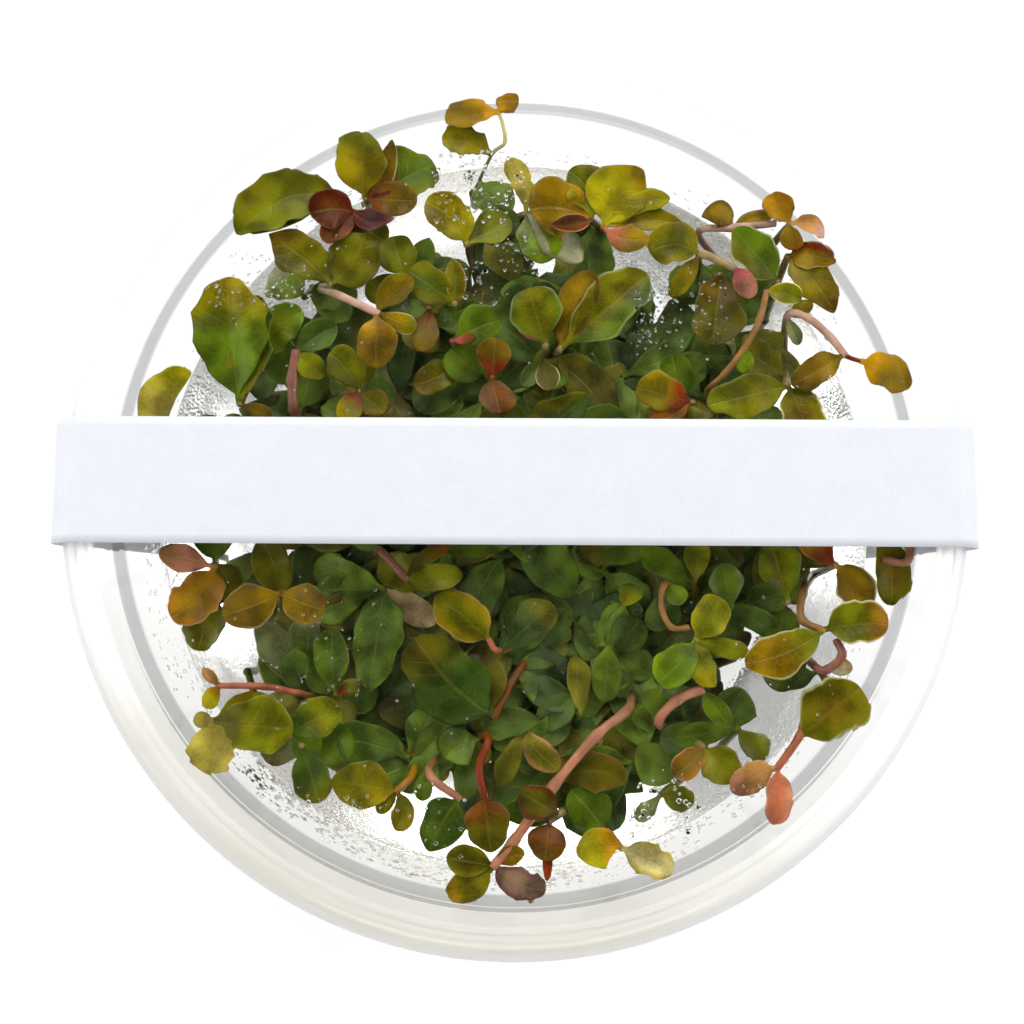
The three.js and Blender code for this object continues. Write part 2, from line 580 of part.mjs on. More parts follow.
// The lid clips over the cup's rolled rim: a sunken panel, a raised rim, a skirt with an inner
// bead that catches under the rolled rim, and an outer lip.
function lidGeometry() {
  const under = PANEL_HEIGHT - LID_WALL;
  const rimUnder = CUP_TOP + GAP;
  const skirt = FLANGE_RADIUS + GAP;
  const bead = FLANGE_UNDER - GAP - EDGE_ROUND;
  const foot = bead - EDGE_ROUND;
  return turned([
    [0, under],
    [PANEL_RADIUS + EDGE_ROUND, under],
    [RIM_INNER_RADIUS + LID_WALL, rimUnder],
    [skirt, rimUnder],
    [skirt, FLANGE_UNDER - GAP],
    [FLANGE_RADIUS - EDGE_ROUND, bead],
    [FLANGE_RADIUS, foot],
    [LIP_RADIUS - EDGE_ROUND, foot],
    [LIP_RADIUS, bead],
    [skirt + LID_WALL, FLANGE_UNDER + EDGE_ROUND],
    [skirt + LID_WALL, RIM_HEIGHT - 2 * EDGE_ROUND],
    [skirt - EDGE_ROUND, RIM_HEIGHT],
    [RIM_INNER_RADIUS, RIM_HEIGHT],
    [PANEL_RADIUS, PANEL_HEIGHT],
    [0, PANEL_HEIGHT],
  ]);
}

function gelGeometry() {
  const bottom = FLOOR + GAP;
  const edge = GEL_HEIGHT + GEL_CREEP;
  const rimRadius = innerWallRadius(edge) - GAP;
  return turned([
    [0, bottom],
    [FLOOR_RADIUS - 1.6, bottom],
    [innerWallRadius(FLOOR + 1.5) - GAP, FLOOR + 1.5],
    [rimRadius, edge],
    [rimRadius - 3 * GEL_CREEP, GEL_HEIGHT - GAP],
    [0, GEL_HEIGHT],
  ]);
}

// The strip's middle line on the +X side, seen from the front: over the rim, round the lid's
// shoulder and lip, then slanting in to the cup wall, where the end is stuck down.
function stripHalfRoute() {
  const rest = STRIP_THICKNESS / 2 + GAP;
  const top = RIM_HEIGHT + rest;
  const onWall = (height) => [outerWallRadius(height) + rest + 0.1, height];
  return [
    [47.6, top],
    [49.3, top - 0.35],
    [50.4, top - 1.3],
    [LIP_RADIUS + rest - 0.1, top - 2.5],
    [LIP_RADIUS + rest, FLANGE_UNDER - 0.8],
    [LIP_RADIUS + rest - 0.4, FLANGE_UNDER - 2.6],
    onWall(STRIP_END_HEIGHT + 12),
    onWall(STRIP_END_HEIGHT),
  ];
}

function stripGeometry() {
  const right = stripHalfRoute();
  const left = right.map(([x, z]) => [-x, z]).reverse();
  const route = [...left, ...right].map(([x, z]) => new THREE.Vector2(x, z));
  const half = STRIP_THICKNESS / 2;
  const side = route.map((point, i) => {
    const before = route[Math.max(i - 1, 0)];
    const after = route[Math.min(i + 1, route.length - 1)];
    const along = after.clone().sub(before).normalize();
    return new THREE.Vector2(-along.y, along.x).multiplyScalar(half);
  });
  const upper = route.map((point, i) => point.clone().add(side[i]));
  const lower = route.map((point, i) => point.clone().sub(side[i])).reverse();
  const outline = new THREE.Shape([...upper, ...lower]);
  const geometry = new THREE.ExtrudeGeometry(outline, { depth: STRIP_WIDTH, bevelEnabled: false });
  geometry.rotateX(Math.PI / 2);
  geometry.translate(0, STRIP_OFFSET + STRIP_WIDTH / 2, 0);
  geometry.rotateZ(STRIP_TURN);
  return geometry;
}

// Where a point noted on the rim's plane really lies, at its depth below the rim.
function place([x, y, depth]) {
  const spread = 1 + depth / EYE.height;
  return new THREE.Vector3(
    EYE.x + (x - EYE.x) * spread,
    EYE.y + (y - EYE.y) * spread,
    RIM_HEIGHT - depth,
  );
}

// A closed solid through rings of as many corners each, which run counter-clockwise as seen from
// its far end. Either end may be a single point.
function loft(rings) {
  const vertices = rings.flat();
  const faces = [];
  let first = 0;
  for (let i = 1; i < rings.length; i += 1) {
    const second = first + rings[i - 1].length;
    const corners = Math.max(rings[i - 1].length, rings[i].length);
    for (let corner = 0; corner < corners; corner += 1) {
      const next = (corner + 1) % corners;
      if (rings[i - 1].length > 1) {
        faces.push(first + corner, first + next, second + (rings[i].length > 1 ? corner : 0));
      }
      if (rings[i].length > 1) {
        faces.push(first + (rings[i - 1].length > 1 ? next : 0), second + next, second + corner);
      }
    }
    first = second;
  }
  const cap = (start, corners, turn) => {
    for (let corner = 1; corner < corners - 1; corner += 1) {
      faces.push(start, start + corner + turn, start + corner + 1 - turn);
    }
  };
  cap(0, rings[0].length, 1);
  cap(first, rings.at(-1).length, 0);
  const geometry = new THREE.BufferGeometry().setFromPoints(vertices);
  geometry.setIndex(faces);
  return geometry;
}

// A stem of three sides along its points.
function stemGeometry(points, extra) {
  const radius = STEM_RADIUS + extra;
  const side = new THREE.Vector3(1, 0, 0);
  const rings = points.map((point, i) => {
    const before = points[Math.max(i - 1, 0)];
    const after = points[Math.min(i + 1, points.length - 1)];
    const along = after.clone().sub(before).normalize();
    side.addScaledVector(along, -side.dot(along)).normalize();
    const corner = side.clone().multiplyScalar(radius);
    return [0, 1, 2].map((third) => {
      const turn = new THREE.Quaternion().setFromAxisAngle(along, (third * 2 * Math.PI) / 3);
      return point.clone().add(corner.clone().applyQuaternion(turn));
    });
  });
  return loft(rings);
}

// Half width of a leaf at a share of its length: a narrow stalk, then a blade that is widest a
// little past the middle.
const bladeShare = (share) => Math.sin(Math.PI * share ** 1.25) ** 0.8;

// Where along a leaf its sections lie: a broad leaf has more of them than a small one.
const stations = (width) => {
  if (width > BROAD_LEAF) return [0.2, 0.5, 0.8];
  return width > SMALL_LEAF ? [0.35, 0.75] : [0.6];
};

// A leaf of three-sided section from its foot, sunk in the stem, to a pointed tip.
function leafGeometry(start, tip, width, bow, extra) {
  const way = tip.clone().sub(start);
  const length = way.length();
  const along = way.clone().normalize();
  const left = new THREE.Vector3(-along.y, along.x, 0).normalize();
  const above = along.clone().cross(left);
  const thick = LEAF_HALF_THICKNESS + extra;
  const rings = stations(width).map((share) => {
    const halfWidth = (width / 2) * bladeShare(share);
    const middle = start.clone()
      .addScaledVector(way, share)
      .addScaledVector(left, bow * length * 4 * share * (1 - share));
    const raised = middle.clone().addScaledVector(above, thick);
    return [
      raised.clone().addScaledVector(left, halfWidth + extra),
      raised.clone().addScaledVector(left, -halfWidth - extra),
      middle.clone().addScaledVector(above, -thick),
    ];
  });
  const foot = start.clone().addScaledVector(along, -extra);
  const end = tip.clone().addScaledVector(along, extra);
  return loft([[foot], ...rings, [end]]);
}

// All stems and leaves of one clump, each swollen by the extra. Its shoots share one stem up to
// the collar, just above the gel, and part there.
function clumpPieces(clump, extra) {
  const root = place([...clump.root, ROOT_DEPTH]);
  const collar = root.clone().setZ(COLLAR_HEIGHT);
  const stems = [];
  const leaves = [];
  for (const { points, leaves: blades } of clump.shoots) {
    const route = [collar, ...points.map(place)];
    const end = route.at(-1);
    const beyond = end.clone().sub(route.at(-2)).setLength(STEM_RADIUS).add(end);
    stems.push(toSolid(stemGeometry([...route.slice(0, -1), beyond], extra)));
    for (const blade of blades) {
      const tip = place(blade.tip);
      leaves.push(toSolid(leafGeometry(route[blade.from], tip, blade.width, blade.bow, extra)));
    }
  }
  const foot = toSolid(stemGeometry([root, collar], extra));
  return { foot, solids: [foot, ...stems, ...leaves] };
}

// The room inside the closed cup that a shoot may fill.
function room() {
  const ceiling = PANEL_HEIGHT - LID_WALL - GAP;
  return toSolid(turned([
    [0, FLOOR + GAP],
    [innerWallRadius(FLOOR + GAP) - GAP - 1, FLOOR + GAP],
    [innerWallRadius(ceiling) - GAP, ceiling],
    [0, ceiling],
  ]));
}

const vessel = new THREE.Group();
vessel.add(named('cup', cupGeometry(), CLEAR_PLASTIC));
vessel.add(named('lid', lidGeometry(), LID_PLASTIC));
vessel.add(named('paper_strip', stripGeometry(), PAPER));

const plants = new THREE.Group();
const inside = room();
let gel = toSolid(gelGeometry());
const swollen = CLUMPS.map((clump) => clumpPieces(clump, GAP));
CLUMPS.forEach((clump, i) => {
  let solid = wasm.Manifold.union(clumpPieces(clump, 0).solids).intersect(inside);
  for (let earlier = 0; earlier < i; earlier += 1) {
    solid = solid.subtract(wasm.Manifold.union(swollen[earlier].solids));
  }
  gel = gel.subtract(swollen[i].foot);
  const tone = clump.shoots[0].leaves[0].tone;
  const finish = { color: TONES[tone], roughness: 0.4, metalness: 0 };
  const name = `clump_${String(i + 1).padStart(2, '0')}`;
  plants.add(named(name, toGeometry(largestBody(solid)), finish));
});
vessel.add(named('gel', toGeometry(largestBody(gel)), GEL));

const part = new THREE.Group();
part.add(vessel, plants);

export default part;
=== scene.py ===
"""Looks of a closed culture cup of young ludwigia plants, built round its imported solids.

Sizes and places are millimetres in the row's frame, and become metres when a mesh is made.
"""

from __future__ import annotations

import logging
import math
import random
from collections.abc import Callable, Iterable, Sequence
from dataclasses import dataclass, field
from enum import Enum

import bpy
import numpy as np
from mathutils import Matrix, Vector, noise

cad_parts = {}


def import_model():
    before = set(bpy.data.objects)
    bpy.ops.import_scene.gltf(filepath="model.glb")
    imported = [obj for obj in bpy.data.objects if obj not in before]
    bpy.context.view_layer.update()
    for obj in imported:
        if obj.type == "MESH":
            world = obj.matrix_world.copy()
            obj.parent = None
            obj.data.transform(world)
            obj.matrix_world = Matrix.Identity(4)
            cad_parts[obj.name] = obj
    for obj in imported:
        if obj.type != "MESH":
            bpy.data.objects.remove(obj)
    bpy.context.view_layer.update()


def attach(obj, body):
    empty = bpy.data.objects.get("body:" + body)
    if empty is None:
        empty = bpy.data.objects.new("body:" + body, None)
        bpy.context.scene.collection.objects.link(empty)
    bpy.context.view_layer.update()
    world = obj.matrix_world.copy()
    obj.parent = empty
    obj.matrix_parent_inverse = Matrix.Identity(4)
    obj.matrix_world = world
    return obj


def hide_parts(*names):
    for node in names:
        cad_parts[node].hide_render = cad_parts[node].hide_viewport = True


LOG = logging.getLogger("culture_cup")
MM = 0.001
BODY = "root"

Point = tuple[float, float, float]
Colour = tuple[float, float, float]
Profile = Sequence[tuple[float, float]]

# How much of a plant's display colour goes into its surface, since the lamps add the rest back
PLANT_SHARE = 0.54

# How much of the lamps' light the clear parts let through, so that they cast faint shadows
LIGHT_LET_THROUGH = 0.8

# A profile's point this near the axis is on it
ON_AXIS = 1e-6

# The sockets of a Mix node that take and give colours
MIX_FIRST = 6
MIX_SECOND = 7
MIX_RESULT = 2


def to_linear(value: int) -> float:
    """Light value of one 0 to 255 display value."""
    share = value / 255
    return share / 12.92 if share <= 0.04045 else ((share + 0.055) / 1.055) ** 2.4


class Tone(Enum):
    """Plant colours as display values, red, green and blue."""

    GREEN = (88, 110, 16)
    DEEP = (70, 90, 22)
    SHADE = (54, 74, 20)
    LIME = (112, 136, 16)
    MINT = (140, 160, 54)
    SAGE = (120, 126, 74)
    FRESH = (116, 118, 10)
    KHAKI = (138, 122, 8)
    CITRON = (158, 148, 12)
    YELLOW = (180, 164, 64)
    STRAW = (214, 200, 128)
    OLIVE = (108, 104, 10)
    DUSK = (82, 76, 8)
    BROWN = (108, 84, 14)
    AMBER = (142, 112, 8)
    HONEY = (174, 130, 8)
    GOLD = (194, 140, 10)
    ORANGE = (160, 110, 18)
    COPPER = (146, 88, 16)
    PEACH = (222, 158, 80)
    RUST = (112, 62, 12)
    RED = (128, 46, 8)
    WINE = (90, 28, 10)
    PURPLE = (110, 68, 66)
    MAUVE = (134, 106, 84)
    PINK = (168, 68, 64)
    CORAL = (176, 98, 64)
    ROSE = (150, 96, 76)
    SALMON = (186, 124, 92)
    BLUSH = (214, 170, 146)
    TAN = (166, 120, 64)
    BEIGE = (170, 142, 98)
    PALE = (176, 174, 134)

    @property
    def colour(self) -> tuple[float, float, float]:
        """The tone as linear light, less the part that the lamps add back."""
        return tuple(PLANT_SHARE * to_linear(value) for value in self.value)


class Spread(Enum):
    """Where on a leaf its second tone lies, seen from stalk to tip."""

    MARGIN = "margin"
    TIP = "tip"
    FOOT = "foot"
    LEFT = "left"
    RIGHT = "right"
    HEART = "heart"


class Form(Enum):
    """Outlines of a leaf: how fast it widens from its stalk and narrows to its tip."""

    OBOVATE = (0.72, 0.54)
    OVAL = (0.58, 0.56)
    ROUND = (0.48, 0.42)
    OVATE = (0.5, 0.72)
    POINTED = (0.62, 0.95)
    NARROW = (0.75, 0.75)


@dataclass(frozen=True)
class Leaf:
    """One leaf: the route point it grows from, its tip, its width and how it is coloured.

    The tip is (x, y, depth): the place where it shows on the plane of the lid's rim, and how far
    it lies below that plane. The bow is how far the midrib swings to the left, per unit length.
    The skew makes the left half wider, the curl lifts both margins, the fold closes the halves
    towards each other along the midrib, and ragged roughens the outline.
    """

    start: int
    tip: Point
    width: float
    bow: float
    tone: Tone
    second: Tone | None = None
    spread: Spread = Spread.MARGIN
    # How strong the painted highlight along the margin is
    rim: float = 0.04
    form: Form = Form.OBOVATE
    skew: float = 0.0
    curl: float = 0.0
    fold: float = 0.0
    ragged: float = 0.02


@dataclass(frozen=True)
class Shoot:
    """One shoot: the points of its stem above the clump's root, its stem's tone, its leaves."""

    points: tuple[Point, ...]
    tone: Tone
    leaves: tuple[Leaf, ...]
    girth: float = 0.9


@dataclass(frozen=True)
class Clump:
    """Shoots from one root, whose place (x, y) is noted on the plane of the lid's rim."""

    root: tuple[float, float]
    shoots: tuple[Shoot, ...]


CLUMPS = (
    Clump((-18.0, 27.0), (
        Shoot(((-19.0, 32.9, 5.4),), Tone.BEIGE, (
            Leaf(1, (-30.9, 28.5, 3.9), 6.5, -0.14, Tone.FRESH, Tone.OLIVE, Spread.RIGHT, form=Form.OVAL),
            Leaf(1, (-29.4, 28.7, 4.6), 2.4, 0, Tone.GREEN),
        )),
        Shoot(((-17.8, 31.0, 4.4),), Tone.WINE, (
            Leaf(1, (-22.8, 30.8, 3.6), 4.6, -0.1, Tone.WINE, Tone.RUST, Spread.HEART, form=Form.OVAL),
            Leaf(1, (-21.3, 27.8, 3.7), 3.8, 0, Tone.RUST, Tone.WINE, Spread.FOOT, form=Form.ROUND),
            Leaf(1, (-13.4, 30.5, 3.6), 3, -0.2, Tone.PURPLE, Tone.WINE, Spread.FOOT, form=Form.OVATE,
                 curl=0.3),
            Leaf(1, (-17.6, 28.2, 5.0), 3, 0, Tone.RUST, Tone.PURPLE, Spread.TIP),
        )),
    )),
    Clump((-15.0, 28.5), (
        Shoot(((-16.6, 32.6, 5.4),), Tone.BEIGE, (
            Leaf(1, (-16.5, 40.4, 3.9), 6.2, 0.08, Tone.KHAKI, Tone.FRESH, Spread.TIP, form=Form.OVAL),
            Leaf(1, (-13.8, 39.6, 3.5), 2.8, -0.1, Tone.BROWN, Tone.RUST, Spread.FOOT, rim=0.4,
                 form=Form.POINTED),
            Leaf(1, (-9.0, 36.6, 6.8), 6.2, 0, Tone.GREEN, Tone.FRESH, form=Form.ROUND, ragged=0.12),
            Leaf(1, (-10.9, 32.4, 4.0), 4.2, 0, Tone.BROWN, Tone.RUST, Spread.FOOT, form=Form.OVAL),
            Leaf(1, (-13.4, 35.6, 4.6), 3, 0, Tone.WINE, Tone.RED, Spread.TIP, form=Form.OVAL),
        )),
    )),
    Clump((-21.5, 21.0), (
        Shoot(((-20.3, 22.8, 5.2),), Tone.BEIGE, (
            Leaf(1, (-27.4, 28.6, 4.0), 5.6, -0.05, Tone.OLIVE, Tone.BROWN, Spread.TIP,
                 form=Form.POINTED, ragged=0.05),
            Leaf(1, (-16.6, 28.7, 4.3), 6.2, -0.1, Tone.OLIVE, Tone.DUSK, form=Form.ROUND),
        )),
        Shoot(((-19.9, 21.8, 4.6), (-15.2, 19.6, 3.8)), Tone.BLUSH, (
            Leaf(2, (-11.2, 23.3, 3.6), 3.2, 0.1, Tone.AMBER, Tone.OLIVE),
            Leaf(2, (-15.2, 13.4, 3.5), 4.4, 0, Tone.BROWN, Tone.HONEY, Spread.FOOT, form=Form.OVAL),
            Leaf(2, (-10.8, 17.8, 4.3), 2.6, 0, Tone.AMBER, Tone.OLIVE, Spread.TIP, rim=0.6),
        )),
        Shoot(((-23.3, 21.4, 9.4),), Tone.GREEN, (
            Leaf(1, (-26.8, 24.6, 8.4), 5, 0, Tone.MINT, Tone.PALE, Spread.TIP, form=Form.ROUND,
                 ragged=0.1),
        )),
    )),
    Clump((-9.5, 20.5), (
        Shoot(((-12.0, 23.4, 6.8),), Tone.GREEN, (
            Leaf(1, (-13.6, 28.3, 6.4), 4.6, 0, Tone.FRESH, Tone.OLIVE),
            Leaf(1, (-16.5, 21.5, 7.2), 3.4, 0, Tone.OLIVE),
        )),
        Shoot(((-6.7, 20.7, 5.2),), Tone.BEIGE, (
            Leaf(1, (-11.8, 24.4, 4.5), 4.4, 0, Tone.OLIVE, Tone.DEEP, Spread.HEART, form=Form.ROUND),
            Leaf(1, (-7.1, 25.7, 4.6), 2.8, -0.06, Tone.OLIVE, Tone.AMBER, rim=0.3, form=Form.OVATE),
        )),
    )),
    Clump((-2.5, 27.5), (
        Shoot(((-5.4, 27.4, 5.2),), Tone.BEIGE, (
            Leaf(1, (-10.0, 32.3, 3.6), 4.8, -0.12, Tone.KHAKI, Tone.CITRON, Spread.FOOT,
                 form=Form.ROUND, ragged=0.05),
            Leaf(1, (-0.6, 30.4, 7.0), 4, 0, Tone.FRESH),
        )),
        Shoot(((1.2, 31.0, 6.2),), Tone.BEIGE, (
            Leaf(1, (-0.8, 37.3, 5.2), 3, -0.1, Tone.YELLOW, ragged=0.12),
            Leaf(1, (3.6, 25.4, 5.6), 5, 0, Tone.LIME, Tone.SAGE, Spread.FOOT, form=Form.ROUND),
            Leaf(1, (7.4, 25.4, 6.0), 4.4, 0, Tone.PALE, Tone.SAGE),
        )),
    )),
    Clump((-4.5, 31.5), (
        Shoot(((-2.6, 37.8, 6.0), (-1.1, 39.4, 4.6), (-1.8, 42.9, 3.8)), Tone.STRAW, (
            Leaf(1, (-8.2, 39.4, 4.8), 4.2, -0.08, Tone.KHAKI, Tone.FRESH, form=Form.ROUND, ragged=0.12),
            Leaf(3, (-7.8, 41.6, 3.5), 3.7, -0.06, Tone.AMBER, Tone.GOLD, Spread.FOOT, form=Form.OVAL),
            Leaf(3, (0.4, 44.6, 3.5), 2.8, 0.1, Tone.GOLD, Tone.ORANGE, form=Form.ROUND),
        ), girth=0.42),
    )),
    Clump((9.5, 27.5), (
        Shoot(((8.4, 30.2, 4.8),), Tone.BROWN, (
            Leaf(1, (1.6, 31.4, 3.9), 6.4, -0.12, Tone.AMBER, Tone.HONEY, Spread.FOOT, form=Form.OVAL),
            Leaf(1, (6.0, 35.9, 4.2), 5.6, -0.18, Tone.FRESH, Tone.KHAKI, form=Form.OVAL),
            Leaf(1, (4.0, 29.6, 3.5), 2.8, 0.1, Tone.RUST, Tone.PINK, rim=0.3, form=Form.OVAL, curl=0.3),
        )),
        Shoot(((9.8, 29.4, 4.6),), Tone.CORAL, (
            Leaf(1, (14.4, 36.0, 3.7), 6.4, 0.06, Tone.CITRON, Tone.AMBER, Spread.TIP, form=Form.OVATE,
                 skew=0.1),
            Leaf(1, (17.3, 32.7, 4.2), 2.8, 0.1, Tone.CITRON),
            Leaf(1, (15.0, 28.2, 3.6), 3.2, -0.15, Tone.AMBER, Tone.CORAL, Spread.FOOT, form=Form.OVAL),
            Leaf(1, (19.1, 29.3, 5.2), 3.2, 0.1, Tone.KHAKI, form=Form.POINTED),
        )),
    )),
    Clump((20.0, 21.0), (
        Shoot(((20.5, 26.2, 5.4), (24.2, 24.7, 3.8)), Tone.BEIGE, (
            Leaf(2, (25.7, 21.2, 3.4), 3, 0.1, Tone.ROSE, Tone.PINK, Spread.FOOT, form=Form.ROUND),
            Leaf(1, (14.9, 26.6, 4.2), 5.6, -0.15, Tone.OLIVE, Tone.KHAKI, form=Form.ROUND),
            Leaf(1, (17.2, 21.4, 5.8), 2.4, 0, Tone.KHAKI),
        )),
        Shoot(((22.7, 23.9, 6.0),), Tone.BEIGE, (
            Leaf(1, (21.8, 15.9, 4.6), 6.2, 0, Tone.DUSK, Tone.BROWN, Spread.FOOT, form=Form.ROUND),
        )),
    )),
    Clump((24.0, 21.5), (
        Shoot(((20.4, 28.6, 6.4), (24.2, 29.3, 5.0), (28.8, 29.8, 4.6)), Tone.BLUSH, (
            Leaf(2, (20.8, 30.6, 4.0), 3, -0.25, Tone.AMBER, Tone.BROWN, form=Form.OVATE),
            Leaf(2, (28.8, 30.6, 4.4), 1.8, 0.1, Tone.AMBER, Tone.BEIGE),
        ), girth=0.85),
        Shoot(((30.6, 29.8, 3.9),), Tone.BEIGE, (
            Leaf(1, (27.6, 32.2, 3.4), 3.6, -0.12, Tone.GOLD, Tone.ORANGE, form=Form.ROUND),
            Leaf(1, (34.2, 28.0, 3.5), 2.6, 0.2, Tone.PEACH, Tone.BLUSH, Spread.TIP, form=Form.NARROW,
                 curl=0.3),
            Leaf(1, (31.0, 26.8, 4.0), 2.8, 0, Tone.AMBER, Tone.COPPER, Spread.TIP, form=Form.ROUND),
        )),
    )),
    Clump((26.5, 17.5), (
        Shoot(((30.2, 26.0, 5.4),), Tone.BEIGE, (
            Leaf(1, (35.6, 25.4, 3.5), 3.6, 0.08, Tone.AMBER, Tone.RED, Spread.LEFT, rim=0.4,
                 form=Form.OVATE),
            Leaf(1, (35.2, 19.6, 4.2), 4.6, 0.06, Tone.KHAKI, Tone.BROWN, Spread.TIP, form=Form.OVATE),
        )),
        Shoot(((29.0, 23.2, 5.0),), Tone.BEIGE, (
            Leaf(1, (24.3, 29.2, 3.6), 5, 0, Tone.GREEN, Tone.OLIVE, Spread.LEFT, rim=0.5,
                 form=Form.OVAL),
        )),
    )),
    Clump((20.5, 8.5), (
        Shoot(((21.0, 10.8, 8.0), (23.0, 12.8, 5.6), (25.3, 15.8, 4.8), (26.9, 18.8, 4.2), (27.8, 22.0,
              3.7)), Tone.TAN, (
            Leaf(5, (31.6, 21.0, 3.3), 2.6, 0.08, Tone.FRESH, Tone.CITRON, Spread.FOOT, rim=1,
                 form=Form.OVAL),
            Leaf(3, (25.0, 12.8, 5.6), 2, 0, Tone.LIME),
        ), girth=0.7),
        Shoot(((20.6, 10.0, 9.4),), Tone.GREEN, (
            Leaf(1, (16.4, 12.9, 8.6), 3.2, 0, Tone.DEEP),
            Leaf(1, (25.6, 8.4, 8.6), 2.8, 0, Tone.DUSK),
        )),
    )),
    Clump((28.5, 13.0), (
        Shoot(((30.0, 19.2, 5.0), (32.2, 19.1, 4.3), (34.6, 17.0, 4.0), (36.2, 14.9, 3.8)), Tone.BLUSH, (
            Leaf(4, (30.3, 11.5, 3.7), 4, 0, Tone.BROWN, Tone.AMBER, Spread.FOOT, form=Form.OVAL),
            Leaf(1, (31.2, 16.0, 5.8), 1.6, 0, Tone.SAGE),
            Leaf(1, (32.9, 20.7, 4.6), 1.8, 0, Tone.KHAKI),
        ), girth=0.85),
        Shoot(((29.8, 11.4, 4.8),), Tone.BEIGE, (
            Leaf(1, (21.0, 9.2, 3.6), 5.2, 0, Tone.OLIVE, Tone.FRESH, Spread.TIP, form=Form.OVAL),
            Leaf(1, (31.8, 5.2, 3.9), 5.2, 0.06, Tone.OLIVE, Tone.BROWN, Spread.HEART, rim=0.6,
                 form=Form.ROUND),
        )),
        Shoot(((30.0, 19.2, 5.0), (32.2, 19.1, 4.3), (34.6, 17.0, 4.0), (36.2, 14.9, 3.8), (37.9, 14.2,
              3.6)), Tone.RED, (
            Leaf(5, (43.3, 11.3, 3.3), 4.4, 0.04, Tone.AMBER, Tone.GOLD, Spread.FOOT, form=Form.OVAL),
        ), girth=0.5),
    )),
    Clump((15.5, 9.0), (
        Shoot(((19.4, 9.6, 4.6),), Tone.BEIGE, (
            Leaf(1, (13.3, 11.3, 3.6), 4.6, 0, Tone.KHAKI, Tone.RED, Spread.FOOT, form=Form.ROUND),
            Leaf(1, (14.9, 6.8, 4.0), 3.2, 0, Tone.COPPER),
        )),
        Shoot(((11.6, 12.4, 11.0),), Tone.GREEN, (
            Leaf(1, (23.4, 14.8, 10.2), 5.6, 0.06, Tone.GREEN),
            Leaf(1, (10.8, 6.2, 10.4), 4.4, 0, Tone.GREEN),
        )),
    )),
    Clump((3.6, 12.8), (
        Shoot(((5.0, 15.6, 5.0),), Tone.BEIGE, (
            Leaf(1, (14.7, 24.0, 4.2), 6.6, 0, Tone.OLIVE, Tone.GREEN, Spread.RIGHT, rim=0.15,
                 form=Form.OVAL),
            Leaf(1, (8.7, 24.3, 3.5), 4.6, 0.05, Tone.BROWN, Tone.AMBER, Spread.HEART, form=Form.OVAL),
        )),
        Shoot(((3.3, 16.0, 4.6),), Tone.BEIGE, (
            Leaf(1, (1.5, 22.4, 3.4), 5.8, 0, Tone.OLIVE, Tone.GREEN, rim=0.12, form=Form.ROUND),
            Leaf(1, (0.3, 17.8, 4.2), 2.4, -0.2, Tone.PALE, Tone.PINK),
        )),
        Shoot(((3.0, 14.2, 7.4),), Tone.GREEN, (
            Leaf(1, (3.9, 10.9, 5.4), 2.7, 0, Tone.DUSK, Tone.BROWN, rim=0.6, form=Form.ROUND),
            Leaf(1, (0.7, 11.3, 6.4), 2.2, 0, Tone.GREEN),
            Leaf(1, (8.8, 11.6, 9.0), 4.8, 0, Tone.OLIVE),
        )),
    )),
    Clump((-28.0, 11.0), (
        Shoot(((-30.1, 9.4, 4.8),), Tone.BEIGE, (
            Leaf(1, (-31.6, 23.7, 3.4), 8.4, 0.02, Tone.GREEN, Tone.KHAKI, Spread.TIP, rim=0,
                 form=Form.OBOVATE, ragged=0.07),
            Leaf(1, (-28.6, 21.6, 5.0), 4.6, -0.03, Tone.GREEN, Tone.OLIVE, Spread.FOOT, form=Form.ROUND,
                 ragged=0.08),
            Leaf(1, (-26.6, 8.0, 5.4), 1.8, 0, Tone.BROWN),
        )),
        Shoot(((-27.6, 14.2, 6.6),), Tone.GREEN, (
            Leaf(1, (-23.4, 19.8, 5.8), 5, 0.12, Tone.GREEN, Tone.FRESH, Spread.HEART, form=Form.ROUND,
                 ragged=0.04),
        )),
    )),
    Clump((-22.0, 8.5), (
        Shoot(((-24.0, 8.4, 6.2), (-24.4, 11.9, 4.8), (-24.1, 15.1, 4.4)), Tone.ROSE, (
            Leaf(3, (-19.6, 18.1, 5.2), 3.8, 0.05, Tone.DEEP),
            Leaf(3, (-20.9, 12.4, 5.4), 3.2, 0, Tone.FRESH),
        ), girth=1.15),
        Shoot(((-17.0, 10.8, 6.0),), Tone.BEIGE, (
            Leaf(1, (-20.4, 15.1, 4.8), 4.2, -0.08, Tone.FRESH, Tone.OLIVE, form=Form.ROUND),
            Leaf(1, (-14.2, 8.4, 5.0), 3.2, 0, Tone.OLIVE, Tone.BROWN),
            Leaf(1, (-18.9, 7.4, 4.8), 2.8, 0, Tone.KHAKI, Tone.RED, Spread.FOOT),
        )),
    )),
    Clump((-32.0, 2.5), (
        Shoot(((-37.4, 4.4, 4.8),), Tone.BEIGE, (
            Leaf(1, (-35.5, 13.0, 3.4), 3.7, 0.24, Tone.YELLOW, Tone.CITRON, Spread.TIP, form=Form.OVAL,
                 skew=0.3),
            Leaf(1, (-31.8, 7.0, 5.4), 4.2, 0, Tone.GREEN),
        )),
        Shoot(((-30.5, 0.6, 6.4),), Tone.BEIGE, (
            Leaf(1, (-37.0, -0.6, 4.8), 4.2, 0.1, Tone.OLIVE),
            Leaf(1, (-24.6, 2.6, 5.4), 4.4, 0, Tone.GREEN),
        )),
    )),
    Clump((-13.0, 5.0), (
        Shoot(((-12.4, 9.6, 11.4),), Tone.GREEN, (
            Leaf(1, (-20.3, 12.2, 10.6), 5.6, 0, Tone.GREEN),
            Leaf(1, (-14.3, 17.6, 10.8), 6, 0, Tone.SAGE),
            Leaf(1, (-5.6, 9.4, 10.8), 5.4, 0, Tone.MINT),
        )),
